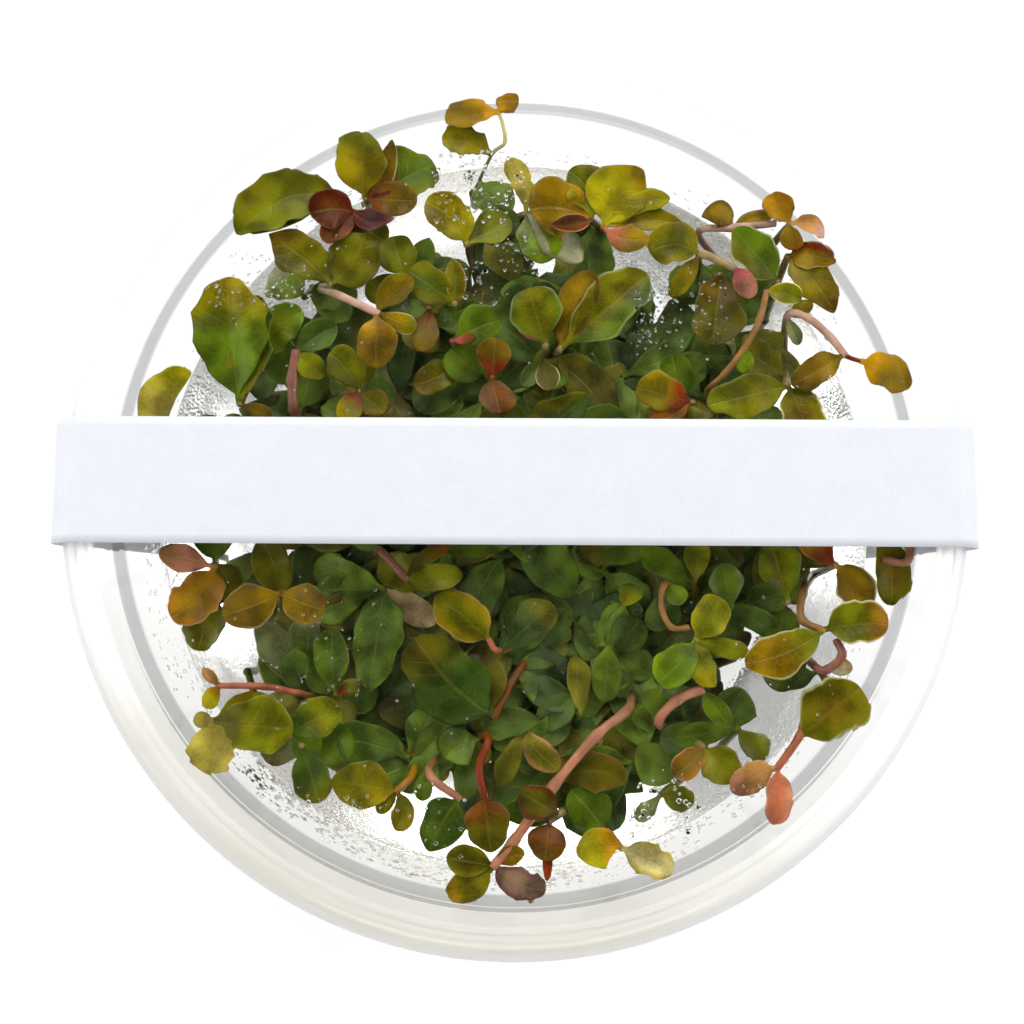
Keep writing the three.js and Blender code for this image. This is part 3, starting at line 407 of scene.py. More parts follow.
        Shoot(((-15.8, 1.4, 7.0),), Tone.GREEN, (
            Leaf(1, (-9.4, 3.6, 5.2), 4.6, 0, Tone.GREEN),
            Leaf(1, (-22.4, -1.8, 6.4), 4.2, 0, Tone.OLIVE),
        )),
    )),
    Clump((-8.0, 15.5), (
        Shoot(((-9.5, 20.2, 5.6),), Tone.BEIGE, (
            Leaf(1, (-10.1, 15.2, 4.4), 3, 0, Tone.BROWN, Tone.RUST, Spread.FOOT),
        )),
        Shoot(((-6.2, 14.4, 6.8),), Tone.GREEN, (
            Leaf(1, (-11.1, 11.6, 6.0), 4.4, 0.1, Tone.OLIVE, Tone.BROWN, Spread.TIP),
        )),
    )),
    Clump((-4.2, 12.6), (
        Shoot(((-2.5, 12.3, 4.6),), Tone.RED, (
            Leaf(1, (-2.1, 16.8, 3.6), 3.8, 0, Tone.BROWN, Tone.RED, Spread.FOOT, form=Form.ROUND),
            Leaf(1, (-1.6, 8.3, 3.7), 3.9, 0, Tone.RUST, Tone.BROWN, form=Form.ROUND),
        )),
        Shoot(((-6.9, 16.4, 5.2),), Tone.PINK, (
            Leaf(1, (-1.2, 18.9, 4.8), 4.4, 0.05, Tone.GREEN),
            Leaf(1, (-4.3, 16.9, 3.9), 1.3, 0, Tone.RUST, Tone.PINK, Spread.FOOT),
        )),
    )),
    Clump((-2.0, 0.0), (
        Shoot(((-2.5, 1.5, 6.0),), Tone.BEIGE, (
            Leaf(1, (4.5, 3.4, 4.8), 4.8, 0, Tone.GREEN),
            Leaf(1, (-8.6, -2.4, 5.6), 4, 0, Tone.FRESH),
            Leaf(1, (-1.4, -5.6, 7.0), 3.6, 0, Tone.OLIVE),
        )),
    )),
    Clump((11.0, -3.0), (
        Shoot(((12.5, 1.0, 6.4),), Tone.BEIGE, (
            Leaf(1, (19.2, 2.6, 4.8), 4.6, 0, Tone.OLIVE),
            Leaf(1, (6.4, -2.2, 7.0), 4, 0, Tone.GREEN),
        )),
        Shoot(((9.4, -8.8, 9.8),), Tone.GREEN, (
            Leaf(1, (3.2, -7.0, 9.2), 3, 0, Tone.BROWN),
            Leaf(1, (14.0, -13.6, 10.6), 4.6, 0, Tone.GREEN),
        )),
    )),
    Clump((27.0, -1.0), (
        Shoot(((27.0, 0.6, 5.8),), Tone.BEIGE, (
            Leaf(1, (20.4, -2.8, 6.4), 4.2, 0, Tone.GREEN),
            Leaf(1, (34.4, 1.8, 4.6), 4.6, 0, Tone.AMBER),
        )),
    )),
    Clump((33.5, -2.0), (
        Shoot(((38.0, 0.0, 5.2),), Tone.BEIGE, (
            Leaf(1, (42.4, 3.6, 4.0), 3.6, 0, Tone.OLIVE),
        )),
        Shoot(((39.2, -4.4, 5.2), (42.4, -6.0, 4.2), (42.2, -7.9, 3.9), (39.9, -7.7, 3.8)), Tone.SALMON, (
            Leaf(1, (40.2, -12.6, 4.8), 4, 0.08, Tone.OLIVE, Tone.BROWN, Spread.HEART),
        )),
    )),
    Clump((-31.0, -7.5), (
        Shoot(((-32.4, -8.4, 4.8),), Tone.BEIGE, (
            Leaf(1, (-38.4, -6.8, 3.9), 3, 0, Tone.SALMON, Tone.TAN, Spread.TIP, form=Form.OVAL),
            Leaf(1, (-36.9, -13.8, 3.4), 5.4, 0.1, Tone.ORANGE, Tone.AMBER, Spread.HEART, rim=0.15,
                 form=Form.ROUND, ragged=0.08),
            Leaf(1, (-33.8, -17.4, 6.0), 4.6, 0, Tone.OLIVE, Tone.SAGE, form=Form.ROUND, ragged=0.12),
        )),
    )),
    Clump((-24.2, -13.5), (
        Shoot(((-25.1, -11.1, 4.4),), Tone.RED, (
            Leaf(1, (-31.4, -13.6, 3.4), 4.8, 0.03, Tone.BROWN, Tone.AMBER, Spread.FOOT, rim=0.2,
                 form=Form.OVAL),
            Leaf(1, (-20.3, -13.0, 3.5), 4.4, -0.04, Tone.AMBER, Tone.BROWN, Spread.TIP, rim=0.1,
                 form=Form.ROUND),
        )),
        Shoot(((-22.0, -20.6, 9.0),), Tone.GREEN, (
            Leaf(1, (-27.6, -14.4, 8.0), 4.2, 0, Tone.SAGE, Tone.GREEN, Spread.FOOT, ragged=0.07),
            Leaf(1, (-22.4, -13.6, 8.0), 4, 0, Tone.GREEN, Tone.SAGE, Spread.TIP),
        )),
    )),
    Clump((-14.5, -8.0), (
        Shoot(((-14.0, -10.8, 8.8),), Tone.GREEN, (
            Leaf(1, (-15.6, -21.9, 7.4), 5.8, 0, Tone.DEEP, Tone.GREEN, form=Form.OVATE),
            Leaf(1, (-8.6, -14.6, 9.8), 3.4, 0, Tone.BEIGE),
            Leaf(1, (-21.6, -8.2, 9.8), 4.4, 0, Tone.GREEN),
        )),
        Shoot(((-14.6, -6.6, 5.8), (-11.7, -9.7, 4.6)), Tone.ROSE, (
            Leaf(2, (-5.6, -9.4, 4.2), 3.4, 0, Tone.FRESH, Tone.OLIVE, form=Form.OVAL),
            Leaf(2, (-7.0, -6.2, 3.8), 2.2, 0.1, Tone.DUSK, Tone.RUST, Spread.TIP),
        )),
    )),
    Clump((-19.6, -22.0), (
        Shoot(((-19.0, -22.0, 7.0),), Tone.GREEN, (
            Leaf(1, (-19.4, -15.0, 6.4), 4.2, 0.05, Tone.DEEP, Tone.GREEN),
            Leaf(1, (-16.4, -20.6, 5.6), 1.5, 0, Tone.OLIVE, Tone.RED, Spread.FOOT),
        )),
        Shoot(((-22.4, -22.0, 7.0), (-26.5, -21.2, 4.6), (-31.5, -21.1, 3.7)), Tone.CORAL, (
            Leaf(3, (-33.0, -23.4, 3.6), 1.9, 0, Tone.CITRON, Tone.COPPER, Spread.FOOT),
            Leaf(3, (-33.3, -19.2, 3.6), 1.2, 0, Tone.TAN),
        ), girth=0.7),
        Shoot(((-23.8, -26.4, 5.2),), Tone.BEIGE, (
            Leaf(1, (-18.3, -23.9, 4.2), 4.4, 0.1, Tone.FRESH, Tone.DEEP, Spread.FOOT),
            Leaf(1, (-20.6, -28.0, 5.6), 3.4, 0, Tone.GREEN),
        )),
    )),
    Clump((-27.5, -19.5), (
        Shoot(((-27.6, -24.2, 12.0), (-32.2, -24.8, 4.6)), Tone.BEIGE, (
            Leaf(2, (-23.5, -25.6, 3.5), 6.6, 0, Tone.FRESH, Tone.OLIVE, Spread.FOOT, form=Form.OVAL),
            Leaf(2, (-32.4, -30.2, 3.6), 5.2, 0.06, Tone.YELLOW, form=Form.ROUND, ragged=0.12),
            Leaf(2, (-34.1, -24.4, 3.8), 2, 0, Tone.YELLOW, form=Form.ROUND),
            Leaf(2, (-26.0, -22.4, 4.8), 3.2, 0, Tone.KHAKI, Tone.CITRON, Spread.FOOT),
        )),
    )),
    Clump((-19.0, -26.5), (
        Shoot(((-22.6, -27.4, 5.0),), Tone.BEIGE, (
            Leaf(1, (-20.6, -33.3, 3.8), 4.4, 0, Tone.DEEP, Tone.OLIVE, Spread.TIP, form=Form.OBOVATE),
        )),
    )),
    Clump((-11.0, -27.0), (
        Shoot(((-10.7, -30.0, 6.6), (-12.5, -32.1, 4.2)), Tone.ORANGE, (
            Leaf(2, (-19.4, -31.0, 3.4), 5, -0.03, Tone.OLIVE, Tone.KHAKI, Spread.FOOT, form=Form.OVAL),
            Leaf(2, (-12.6, -36.1, 3.5), 2.6, 0.2, Tone.OLIVE, Tone.BROWN, rim=0.5, form=Form.OVAL),
            Leaf(2, (-14.5, -34.3, 4.2), 1.7, 0, Tone.OLIVE),
        )),
        Shoot(((-11.4, -28.6, 8.0),), Tone.GREEN, (
            Leaf(1, (-18.9, -26.5, 6.6), 5.2, -0.05, Tone.DEEP),
        )),
    )),
    Clump((-5.5, -26.5), (
        Shoot(((-9.2, -29.9, 5.8), (-5.9, -32.8, 4.5)), Tone.SALMON, (
            Leaf(2, (-9.0, -38.3, 3.6), 5, -0.05, Tone.DEEP, Tone.SHADE, form=Form.OVATE),
            Leaf(1, (-9.9, -33.1, 5.4), 2, 0, Tone.GREEN),
        )),
        Shoot(((-2.9, -26.4, 5.8), (-3.8, -29.6, 4.4), (-3.3, -32.5, 4.2)), Tone.RED, (
            Leaf(3, (-2.5, -38.4, 3.6), 5, 0, Tone.DUSK, Tone.RUST, Spread.FOOT, form=Form.OVATE),
        )),
    )),
    Clump((11.5, -20.5), (
        Shoot(((12.2, -23.3, 7.0), (8.7, -26.2, 4.8), (4.1, -31.5, 4.2), (-0.2, -37.3, 4.0), (-2.2,
              -39.7, 3.8)), Tone.SALMON, (
            Leaf(5, (-7.2, -38.8, 3.7), 3.4, 0, Tone.DUSK, Tone.OLIVE),
            Leaf(5, (-7.3, -42.3, 3.8), 3.6, 0.1, Tone.OLIVE, Tone.AMBER, Spread.TIP),
            Leaf(5, (1.0, -38.5, 4.0), 2, 0.1, Tone.AMBER, Tone.COPPER, Spread.FOOT),
            Leaf(5, (3.2, -42.1, 4.4), 3.5, -0.1, Tone.MAUVE, Tone.PURPLE, form=Form.ROUND, ragged=0.1),
        ), girth=1.1),
        Shoot(((10.0, -16.5, 7.0), (10.3, -14.2, 5.4), (11.5, -12.8, 4.5)), Tone.GREEN, (
            Leaf(3, (12.9, -10.4, 4.0), 2.7, 0, Tone.FRESH, Tone.DEEP, Spread.TIP),
            Leaf(1, (9.4, -22.8, 8.4), 3.8, 0, Tone.GREEN),
        )),
    )),
    Clump((6.5, -32.5), (
        Shoot(((3.6, -35.2, 5.2),), Tone.BEIGE, (
            Leaf(1, (3.2, -39.3, 3.6), 4.4, 0, Tone.RUST, Tone.BROWN, Spread.TIP, form=Form.ROUND),
            Leaf(1, (3.3, -41.3, 3.9), 1.2, 0, Tone.WINE, Tone.RED, Spread.TIP),
        )),
        Shoot(((11.1, -37.9, 4.4),), Tone.BEIGE, (
            Leaf(1, (7.0, -39.2, 3.6), 4.4, -0.18, Tone.CITRON, Tone.GOLD, Spread.FOOT, form=Form.ROUND),
            Leaf(1, (16.6, -40.3, 3.8), 3.6, 0, Tone.STRAW, Tone.YELLOW, form=Form.OVAL, ragged=0.08),
        )),
        Shoot(((4.6, -34.4, 4.4),), Tone.BEIGE, (
            Leaf(1, (0.4, -32.0, 3.4), 3.6, 0, Tone.DUSK, Tone.WINE, form=Form.OVAL),
        )),
    )),
    Clump((2.0, -16.0), (
        Shoot(((1.0, -18.6, 8.8), (-0.6, -21.0, 7.2), (-2.2, -24.4, 6.6)), Tone.RUST, (
            Leaf(3, (-10.6, -16.0, 6.0), 8.6, 0.06, Tone.SHADE, Tone.DUSK, Spread.TIP, rim=0,
                 form=Form.OVAL),
            Leaf(3, (-4.0, -16.9, 7.8), 5, 0, Tone.DUSK),
        )),
        Shoot(((-1.6, -17.4, 6.6), (-2.8, -16.2, 5.6)), Tone.CORAL, (
            Leaf(2, (-8.4, -11.3, 5.0), 5.4, 0, Tone.OLIVE, Tone.AMBER, rim=0.12, form=Form.OVAL),
            Leaf(1, (4.0, -12.4, 8.0), 4.6, 0, Tone.SHADE, Tone.OLIVE, Spread.TIP),
        ), girth=0.7),
    )),
    Clump((6.6, -14.5), (
        Shoot(((7.0, -15.4, 10.2),), Tone.GREEN, (
            Leaf(1, (0.4, -16.4, 10.2), 3.2, 0, Tone.OLIVE),
            Leaf(1, (14.6, -20.0, 10.8), 4.4, 0, Tone.GREEN),
        )),
    )),
    Clump((4.0, -25.0), (
        Shoot(((7.0, -24.2, 8.4),), Tone.GREEN, (
            Leaf(1, (6.4, -17.9, 7.4), 2.9, 0, Tone.OLIVE),
            Leaf(1, (1.6, -20.6, 9.8), 4.2, 0, Tone.SHADE),
        )),
        Shoot(((1.0, -25.4, 7.8),), Tone.GREEN, (
            Leaf(1, (4.8, -29.8, 6.6), 3.2, -0.1, Tone.OLIVE, Tone.TAN),
            Leaf(1, (-1.6, -31.6, 7.8), 2.8, 0, Tone.OLIVE),
        )),
    )),
    Clump((8.5, -29.5), (
        Shoot(((4.4, -31.4, 6.8),), Tone.GREEN, (
            Leaf(1, (0.0, -34.0, 5.8), 3.8, 0.05, Tone.GREEN),
            Leaf(1, (11.6, -31.2, 5.6), 4.6, 0.2, Tone.DUSK, Tone.BROWN),
        )),
        Shoot(((12.4, -29.2, 8.2),), Tone.GREEN, (
            Leaf(1, (5.4, -32.4, 7.6), 4.8, -0.2, Tone.GREEN),
            Leaf(1, (6.4, -36.2, 9.0), 3, 0, Tone.DEEP),
        )),
    )),
    Clump((19.0, -14.0), (
        Shoot(((19.3, -16.3, 5.0),), Tone.BEIGE, (
            Leaf(1, (15.1, -20.7, 4.0), 4.6, 0.05, Tone.GREEN, Tone.LIME, form=Form.ROUND),
            Leaf(1, (22.0, -11.7, 4.6), 4.4, 0, Tone.FRESH, Tone.CITRON, form=Form.ROUND),
            Leaf(1, (21.4, -21.2, 3.8), 3.9, -0.1, Tone.FRESH, Tone.CITRON, Spread.TIP, form=Form.OVATE),
            Leaf(1, (24.9, -17.7, 5.2), 2.7, 0, Tone.FRESH),
        )),
        Shoot(((19.3, -10.2, 7.0),), Tone.BROWN, (
            Leaf(1, (13.4, -6.4, 6.8), 3.2, 0, Tone.GREEN),
            Leaf(1, (19.8, -5.2, 5.8), 2.8, 0, Tone.FRESH),
        )),
        Shoot(((16.4, -10.3, 6.0), (15.7, -12.6, 5.4), (16.7, -14.9, 5.0), (18.5, -14.9, 4.9)), Tone.TAN,
              (
            Leaf(1, (18.0, -12.4, 4.6), 2.3, 0, Tone.LIME, form=Form.ROUND),
        ), girth=0.7),
    )),
    Clump((17.0, -25.5), (
        Shoot(((15.2, -25.0, 6.4), (17.2, -22.6, 5.2), (19.8, -21.5, 4.6)), Tone.SALMON, (
            Leaf(3, (22.8, -25.4, 5.2), 2.8, 0, Tone.GREEN),
            Leaf(1, (14.6, -21.4, 7.0), 2.6, 0, Tone.GREEN),
        ), girth=1.1),
        Shoot(((19.9, -27.6, 5.2),), Tone.BEIGE, (
            Leaf(1, (16.7, -30.4, 3.8), 3.5, 0.05, Tone.BROWN, Tone.COPPER, rim=0.2, form=Form.ROUND),
            Leaf(1, (22.6, -31.4, 4.2), 5, 0.1, Tone.OLIVE, Tone.FRESH, Spread.HEART, form=Form.ROUND),
        )),
    )),
    Clump((20.0, -28.0), (
        Shoot(((23.6, -25.6, 7.0),), Tone.GREEN, (
            Leaf(1, (26.5, -28.8, 6.0), 3, 0, Tone.FRESH, Tone.SAGE, ragged=0.1),
            Leaf(1, (16.4, -26.6, 7.6), 2.8, 0, Tone.GREEN),
        )),
        Shoot(((15.4, -32.4, 7.4),), Tone.GREEN, (
            Leaf(1, (18.9, -33.1, 6.6), 2.9, 0, Tone.FRESH, form=Form.ROUND, ragged=0.08),
            Leaf(1, (12.7, -35.1, 6.6), 1.9, 0, Tone.SAGE, ragged=0.1),
        )),
    )),
    Clump((26.0, -12.0), (
        Shoot(((23.2, -12.8, 6.6),), Tone.GREEN, (
            Leaf(1, (22.4, -8.0, 5.4), 3.7, 0, Tone.GREEN, Tone.SAGE),
            Leaf(1, (28.0, -15.4, 7.4), 3, 0, Tone.DEEP),
        )),
        Shoot(((29.3, -12.2, 5.8),), Tone.BEIGE, (
            Leaf(1, (27.6, -6.0, 4.8), 5.2, 0, Tone.FRESH, Tone.GREEN),
        )),
    )),
    Clump((31.0, -9.5), (
        Shoot(((31.0, -11.0, 6.8), (30.7, -14.0, 5.0), (33.0, -15.2, 4.2)), Tone.TAN, (
            Leaf(3, (24.5, -18.7, 3.5), 5, 0.06, Tone.AMBER, Tone.FRESH, Spread.FOOT, rim=0.4,
                 form=Form.OVAL),
            Leaf(3, (40.0, -14.6, 3.5), 4.8, 0.06, Tone.FRESH, Tone.ORANGE, Spread.TIP, rim=0.7,
                 form=Form.ROUND, ragged=0.04),
        )),
        Shoot(((34.5, -8.2, 4.6),), Tone.BEIGE, (
            Leaf(1, (37.0, -13.1, 3.6), 4.4, 0.12, Tone.AMBER, Tone.BROWN, rim=0.5, form=Form.ROUND),
            Leaf(1, (30.4, -4.6, 3.7), 3.4, 0, Tone.ORANGE, Tone.RED, Spread.FOOT, form=Form.OVAL),
        )),
    )),
    Clump((29.0, -17.0), (
        Shoot(((31.8, -18.9, 5.6), (33.2, -19.4, 4.6), (34.9, -17.9, 4.2), (34.4, -16.4, 4.2)),
              Tone.ROSE, (
            Leaf(3, (34.4, -20.0, 4.6), 2.8, 0, Tone.BEIGE, Tone.PALE, Spread.TIP),
        ), girth=0.9),
        Shoot(((33.2, -20.8, 7.2), (31.0, -23.8, 6.0), (30.1, -26.4, 5.0), (27.7, -29.7, 4.2)),
              Tone.CORAL, (
            Leaf(3, (36.8, -21.3, 3.4), 6.2, 0, Tone.OLIVE, Tone.BROWN, Spread.HEART, rim=0.4,
                 form=Form.ROUND, ragged=0.04),
            Leaf(4, (22.9, -32.3, 3.8), 3.4, -0.1, Tone.TAN, Tone.ROSE, Spread.TIP, form=Form.OVAL,
                 ragged=0.05),
            Leaf(4, (27.2, -35.5, 3.6), 3.4, 0, Tone.CORAL, Tone.SALMON, form=Form.ROUND, curl=0.25),
        )),
    )),
)


@dataclass(frozen=True)
class Vessel:
    """Driving sizes of the cup, lid and gel."""

    gap: float = 0.3
    rim_height: float = 42.0
    lip_radius: float = 50.5
    wall: float = 0.9
    lid_wall: float = 0.7
    floor: float = 1.0
    mouth_radius: float = 46.9
    floor_radius: float = 36.8
    mouth_height: float = 40.4
    cup_top: float = 40.8
    flange_radius: float = 48.6
    flange_under: float = 39.4
    panel_height: float = 40.2
    panel_radius: float = 43.4
    rim_inner_radius: float = 44.1
    gel_height: float = 25.4
    gel_creep: float = 1.1
    edge_round: float = 0.4

    def inner_wall(self, height: float) -> float:
        """Radius of the inside of the cup's tapered wall at a height."""
        slope = (self.mouth_radius - self.floor_radius) / (self.mouth_height - self.floor)
        return self.floor_radius + (height - self.floor) * slope

    def outer_wall(self, height: float) -> float:
        """Radius of the outside of the cup's wall at a height."""
        return self.inner_wall(height) + self.wall

    @property
    def ceiling(self) -> float:
        """Highest that a plant reaches under the lid's panel."""
        return self.panel_height - self.lid_wall - 0.15


@dataclass(frozen=True)
class Sight:
    """The eye that the plants' places are noted from."""

    x: float = -0.33
    y: float = -16.14
    height: float = 123.85

    def place(self, noted: Point) -> Vector:
        """Find where a noted point really lies.

        Args:
            noted: (x, y) on the plane of the lid's rim, and the depth below it.

        Returns:
            The point in the row's frame.
        """
        x, y, depth = noted
        spread = 1 + depth / self.height
        real_x = self.x + (x - self.x) * spread
        real_y = self.y + (y - self.y) * spread
        return Vector((real_x, real_y, VESSEL.rim_height - depth))

    def seen(self, point: Vector) -> tuple[float, float]:
        """Find where a point shows on the plane of the lid's rim.

        Args:
            point: the point in the row's frame.

        Returns:
            Its x and y on the plane.
        """
        spread = 1 + (VESSEL.rim_height - point.z) / self.height
        return self.x + (point.x - self.x) / spread, self.y + (point.y - self.y) / spread


VESSEL = Vessel()
SIGHT = Sight()

# Where the gel lies bare between the plants: x and y on the rim's plane, and how far round it
CLEAR_SPOTS = (
    (-25.0, 17.5, 3.2), (-27.0, 24.0, 4.0), (-11.0, 26.0, 2.2), (-5.5, 33.5, 4.8), (20.0, 17.5, 2.0),
    (24.0, -28.0, 3.5), (-28.5, -17.0, 3.6), (14.0, -33.0, 4.0), (-27.0, -32.0, 6.0), (27.0, 14.0, 2.5),
)


def in_clear_spot(x: float, y: float) -> bool:
    """Whether a place on the rim's plane is in a spot that hidden leaves keep out of."""
    return any(math.hypot(x - a, y - b) < reach for a, b, reach in CLEAR_SPOTS)


@dataclass
class Skin:
    """A mesh while it is being made: its vertices, faces, face materials and vertex values."""

    vertices: list[Sequence[float]] = field(default_factory=list)
    faces: list[tuple[int, ...]] = field(default_factory=list)
    finishes: list[int] = field(default_factory=list)
    tones: list[Sequence[float]] = field(default_factory=list)
    marks: list[Sequence[float]] = field(default_factory=list)

    def add(self, vertices: Iterable[Sequence[float]], faces: Iterable[Sequence[int]],
            finish: int = 0, tones: Iterable[Sequence[float]] = (),
            marks: Iterable[Sequence[float]] = ()) -> None:
        """Add one closed form.

        Args:
            vertices: its points in millimetres.
            faces: its faces, counted from its own first point.
            finish: the material slot of its faces.
            tones: a colour for each point, where the form has them.
            marks: (across, along, strength of the painted rim highlight) for each point, where the form has
                them.
        """
        first = len(self.vertices)
        self.vertices.extend(vertices)
        for face in faces:
            self.faces.append(tuple(first + corner for corner in face))
            self.finishes.append(finish)
        self.tones.extend(tones)
        self.marks.extend(marks)

    def turn(self, profile: Profile, segments: int,
             finish_of: Callable[[float, float], int] = lambda radius, height: 0,
             lift: Callable[[float, float, float], float] = lambda x, y, height: 0.0) -> None:
        """Turn a profile about the axis into a closed form.

        Args:
            profile: (radius, height) points that start and end on the axis.
            segments: sides of the form.
            finish_of: the material slot for a face at (radius, height).
            lift: how far a point at (x, y, height) is raised.
        """
        rings: list[list[int]] = []
        for radius, height in profile:
            sides = segments if radius > ON_AXIS else 1
            rings.append(list(range(len(self.vertices), len(self.vertices) + sides)))
            for side in range(sides):
                angle = 2 * math.pi * side / segments
                x, y = radius * math.cos(angle), radius * math.sin(angle)
                self.vertices.append((x, y, height + lift(x, y, height)))
        for before, after, low, high in zip(profile, profile[1:], rings, rings[1:]):
            finish = finish_of((before[0] + after[0]) / 2, (before[1] + after[1]) / 2)
            for side in range(segments):
                ends = (side, (side + 1) % segments)
                lower = [low[end % len(low)] for end in ends]
                upper = [high[end % len(high)] for end in reversed(ends)]
                self.faces.append(tuple(dict.fromkeys(lower + upper)))
                self.finishes.append(finish)

    def build(self, name: str, materials: Sequence[bpy.types.Material], slot: str,
              nodes: Sequence[str]) -> bpy.types.Object:
        """Make the object, hang it on the root body, and hide the solids that it replaces.

        Args:
            name: the object's name.
            materials: one for each finish.
            slot: the name of a material slot, which is not used.
            nodes: the solids that it replaces.

        Returns:
            The object, riding on the root body.
        """
        mesh = bpy.data.meshes.new(name)
        metres = [[value * MM for value in point] for point in self.vertices]
        mesh.from_pydata(metres, [], self.faces)
        for material in materials:
            mesh.materials.append(material)
        mesh.polygons.foreach_set("material_index", self.finishes)
        mesh.polygons.foreach_set("use_smooth", [True] * len(self.faces))
        if self.tones:
            layer = mesh.color_attributes.new("tone", "FLOAT_COLOR", "POINT")
            flat = np.ones((len(self.vertices), 4), np.float32)
            flat[:, :3] = np.array(self.tones, np.float32)
            layer.data.foreach_set("color", flat.ravel())
        if self.marks:
            layer = mesh.attributes.new("marks", "FLOAT_VECTOR", "POINT")
            layer.data.foreach_set("vector", np.array(self.marks, np.float32).ravel())
        mesh.validate()
        mesh.update()
        piece = bpy.data.objects.new(name, mesh)
        bpy.context.scene.collection.objects.link(piece)
        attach(piece, BODY)
        if nodes:
            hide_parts(*nodes)
        LOG.info("%s: %d faces", name, len(mesh.polygons))
        return piece


class Nodes:
    """Short ways to set up the nodes of one material or group."""

    def __init__(self, tree: bpy.types.NodeTree) -> None:
        """Start on a tree of nodes."""
        self.tree = tree

    def add(self, kind: str, inputs: dict[str | int, object] | None = None,
            **settings: object) -> bpy.types.Node:
        """Add a node.

        Args:
            kind: its type name without the ShaderNode at the front.
            inputs: values for its sockets, or the sockets that feed them.
            settings: values for its own properties.

        Returns:
            The node.
        """
        node = self.tree.nodes.new("ShaderNode" + kind)
        for key, value in settings.items():
            setattr(node, key, value)
        self.dress(node, inputs or {})
        return node

    def dress(self, node: bpy.types.Node, inputs: dict[str | int, object]) -> None:
        """Feed several sockets of one node."""
        for key, value in inputs.items():
            self.feed(node.inputs[key], value)

    def feed(self, target: bpy.types.NodeSocket, value: object) -> None:
        """Feed one socket.

        Args:
            target: the socket.
            value: its value, or the socket that it is linked to.
        """
        if isinstance(value, bpy.types.NodeSocket):
            self.tree.links.new(value, target)
        else:
            target.default_value = value

    def group(self, tree: bpy.types.NodeTree, inputs: dict[str, object]) -> bpy.types.NodeSocket:
        """Place a shared group with its own values, and return its output."""
        return self.add("Group", inputs, node_tree=tree).outputs[0]

    def place(self) -> bpy.types.NodeSocket:
        """Where on the piece the surface is, in metres."""
        return self.add("TexCoord").outputs["Object"]

    def noise(self, place: object, scale: object, detail: float = 0.0) -> bpy.types.NodeSocket:
        """Add a cloudy pattern, and return its level."""
        inputs = {"Vector": place, "Scale": scale, "Detail": detail}
        return self.add("TexNoise", inputs).outputs["Fac"]

    def math(self, operation: str, *values: object) -> bpy.types.NodeSocket:
        """Add a Math node on these values, and return its result."""
        return self.add("Math", dict(enumerate(values)), operation=operation).outputs[0]

    def ramp(self, value: object, low: float, high: float) -> bpy.types.NodeSocket:
        """Add a smooth step from 0 at low to 1 at high, and return its result."""
        inputs = {"Value": value, "From Min": low, "From Max": high}
        return self.add("MapRange", inputs, interpolation_type="SMOOTHSTEP").outputs["Result"]

    def fall(self, value: object, low: float, high: float) -> bpy.types.NodeSocket:
        """Add a smooth step from 1 at low to 0 at high, and return its result."""
        return self.math("SUBTRACT", 1.0, self.ramp(value, low, high))

    def mix(self, share: object, first: object, second: object) -> bpy.types.NodeSocket:
        """Mix two colours.

        Args:
            share: how much of the second colour there is.
            first: the colour at a share of 0.
            second: the colour at a share of 1.

        Returns:
            The mixed colour.
        """
        node = self.add("Mix", {"Factor": share}, data_type="RGBA")
        self.dress(node, {MIX_FIRST: first, MIX_SECOND: second})
        return node.outputs[MIX_RESULT]

    def bump(self, height: object, strength: float, distance: float) -> bpy.types.NodeSocket:
        """Turn a height into a bent normal, and return it."""
        inputs = {"Strength": strength, "Distance": distance, "Height": height}
        return self.add("Bump", inputs).outputs["Normal"]


def new_group(name: str, inputs: dict[str, float | tuple[float, ...]],
              output: str) -> tuple[bpy.types.NodeTree, Nodes, dict, bpy.types.NodeSocket]:
    """Start a shader node group with named sockets.

    Args:
        name: the group's name.
        inputs: the first value of each input: one number, or a colour.
        output: the name of its output, which is a colour where it is called Color.

    Returns:
        The group, its nodes, its input sockets by name and the socket that takes its output.
    """
    tree = bpy.data.node_groups.new(name, "ShaderNodeTree")
    for label, value in inputs.items():
        kind = "NodeSocketColor" if isinstance(value, tuple) else "NodeSocketFloat"
        socket = tree.interface.new_socket(label, in_out="INPUT", socket_type=kind)
        socket.default_value = value
    kind = "NodeSocketColor" if output == "Color" else "NodeSocketFloat"
    tree.interface.new_socket(output, in_out="OUTPUT", socket_type=kind)
    entry = tree.nodes.new("NodeGroupInput")
    ending = tree.nodes.new("NodeGroupOutput")
    return tree, Nodes(tree), dict(entry.outputs.items()), ending.inputs[output]


def wet_relief_group() -> bpy.types.NodeTree:
    """Build the height of an uneven wet surface.

    Returns:
        A group with broad swells and fine grain.
    """
    first = {"Swell Scale": 300.0, "Grain Scale": 2500.0, "Grain": 0.3}
    tree, nodes, given, height = new_group("wet_relief", first, "Height")
    place = nodes.place()
    swell = nodes.noise(place, given["Swell Scale"])
    grain = nodes.noise(place, given["Grain Scale"])
    nodes.feed(height, nodes.math("MULTIPLY_ADD", grain, given["Grain"], swell))
    return tree


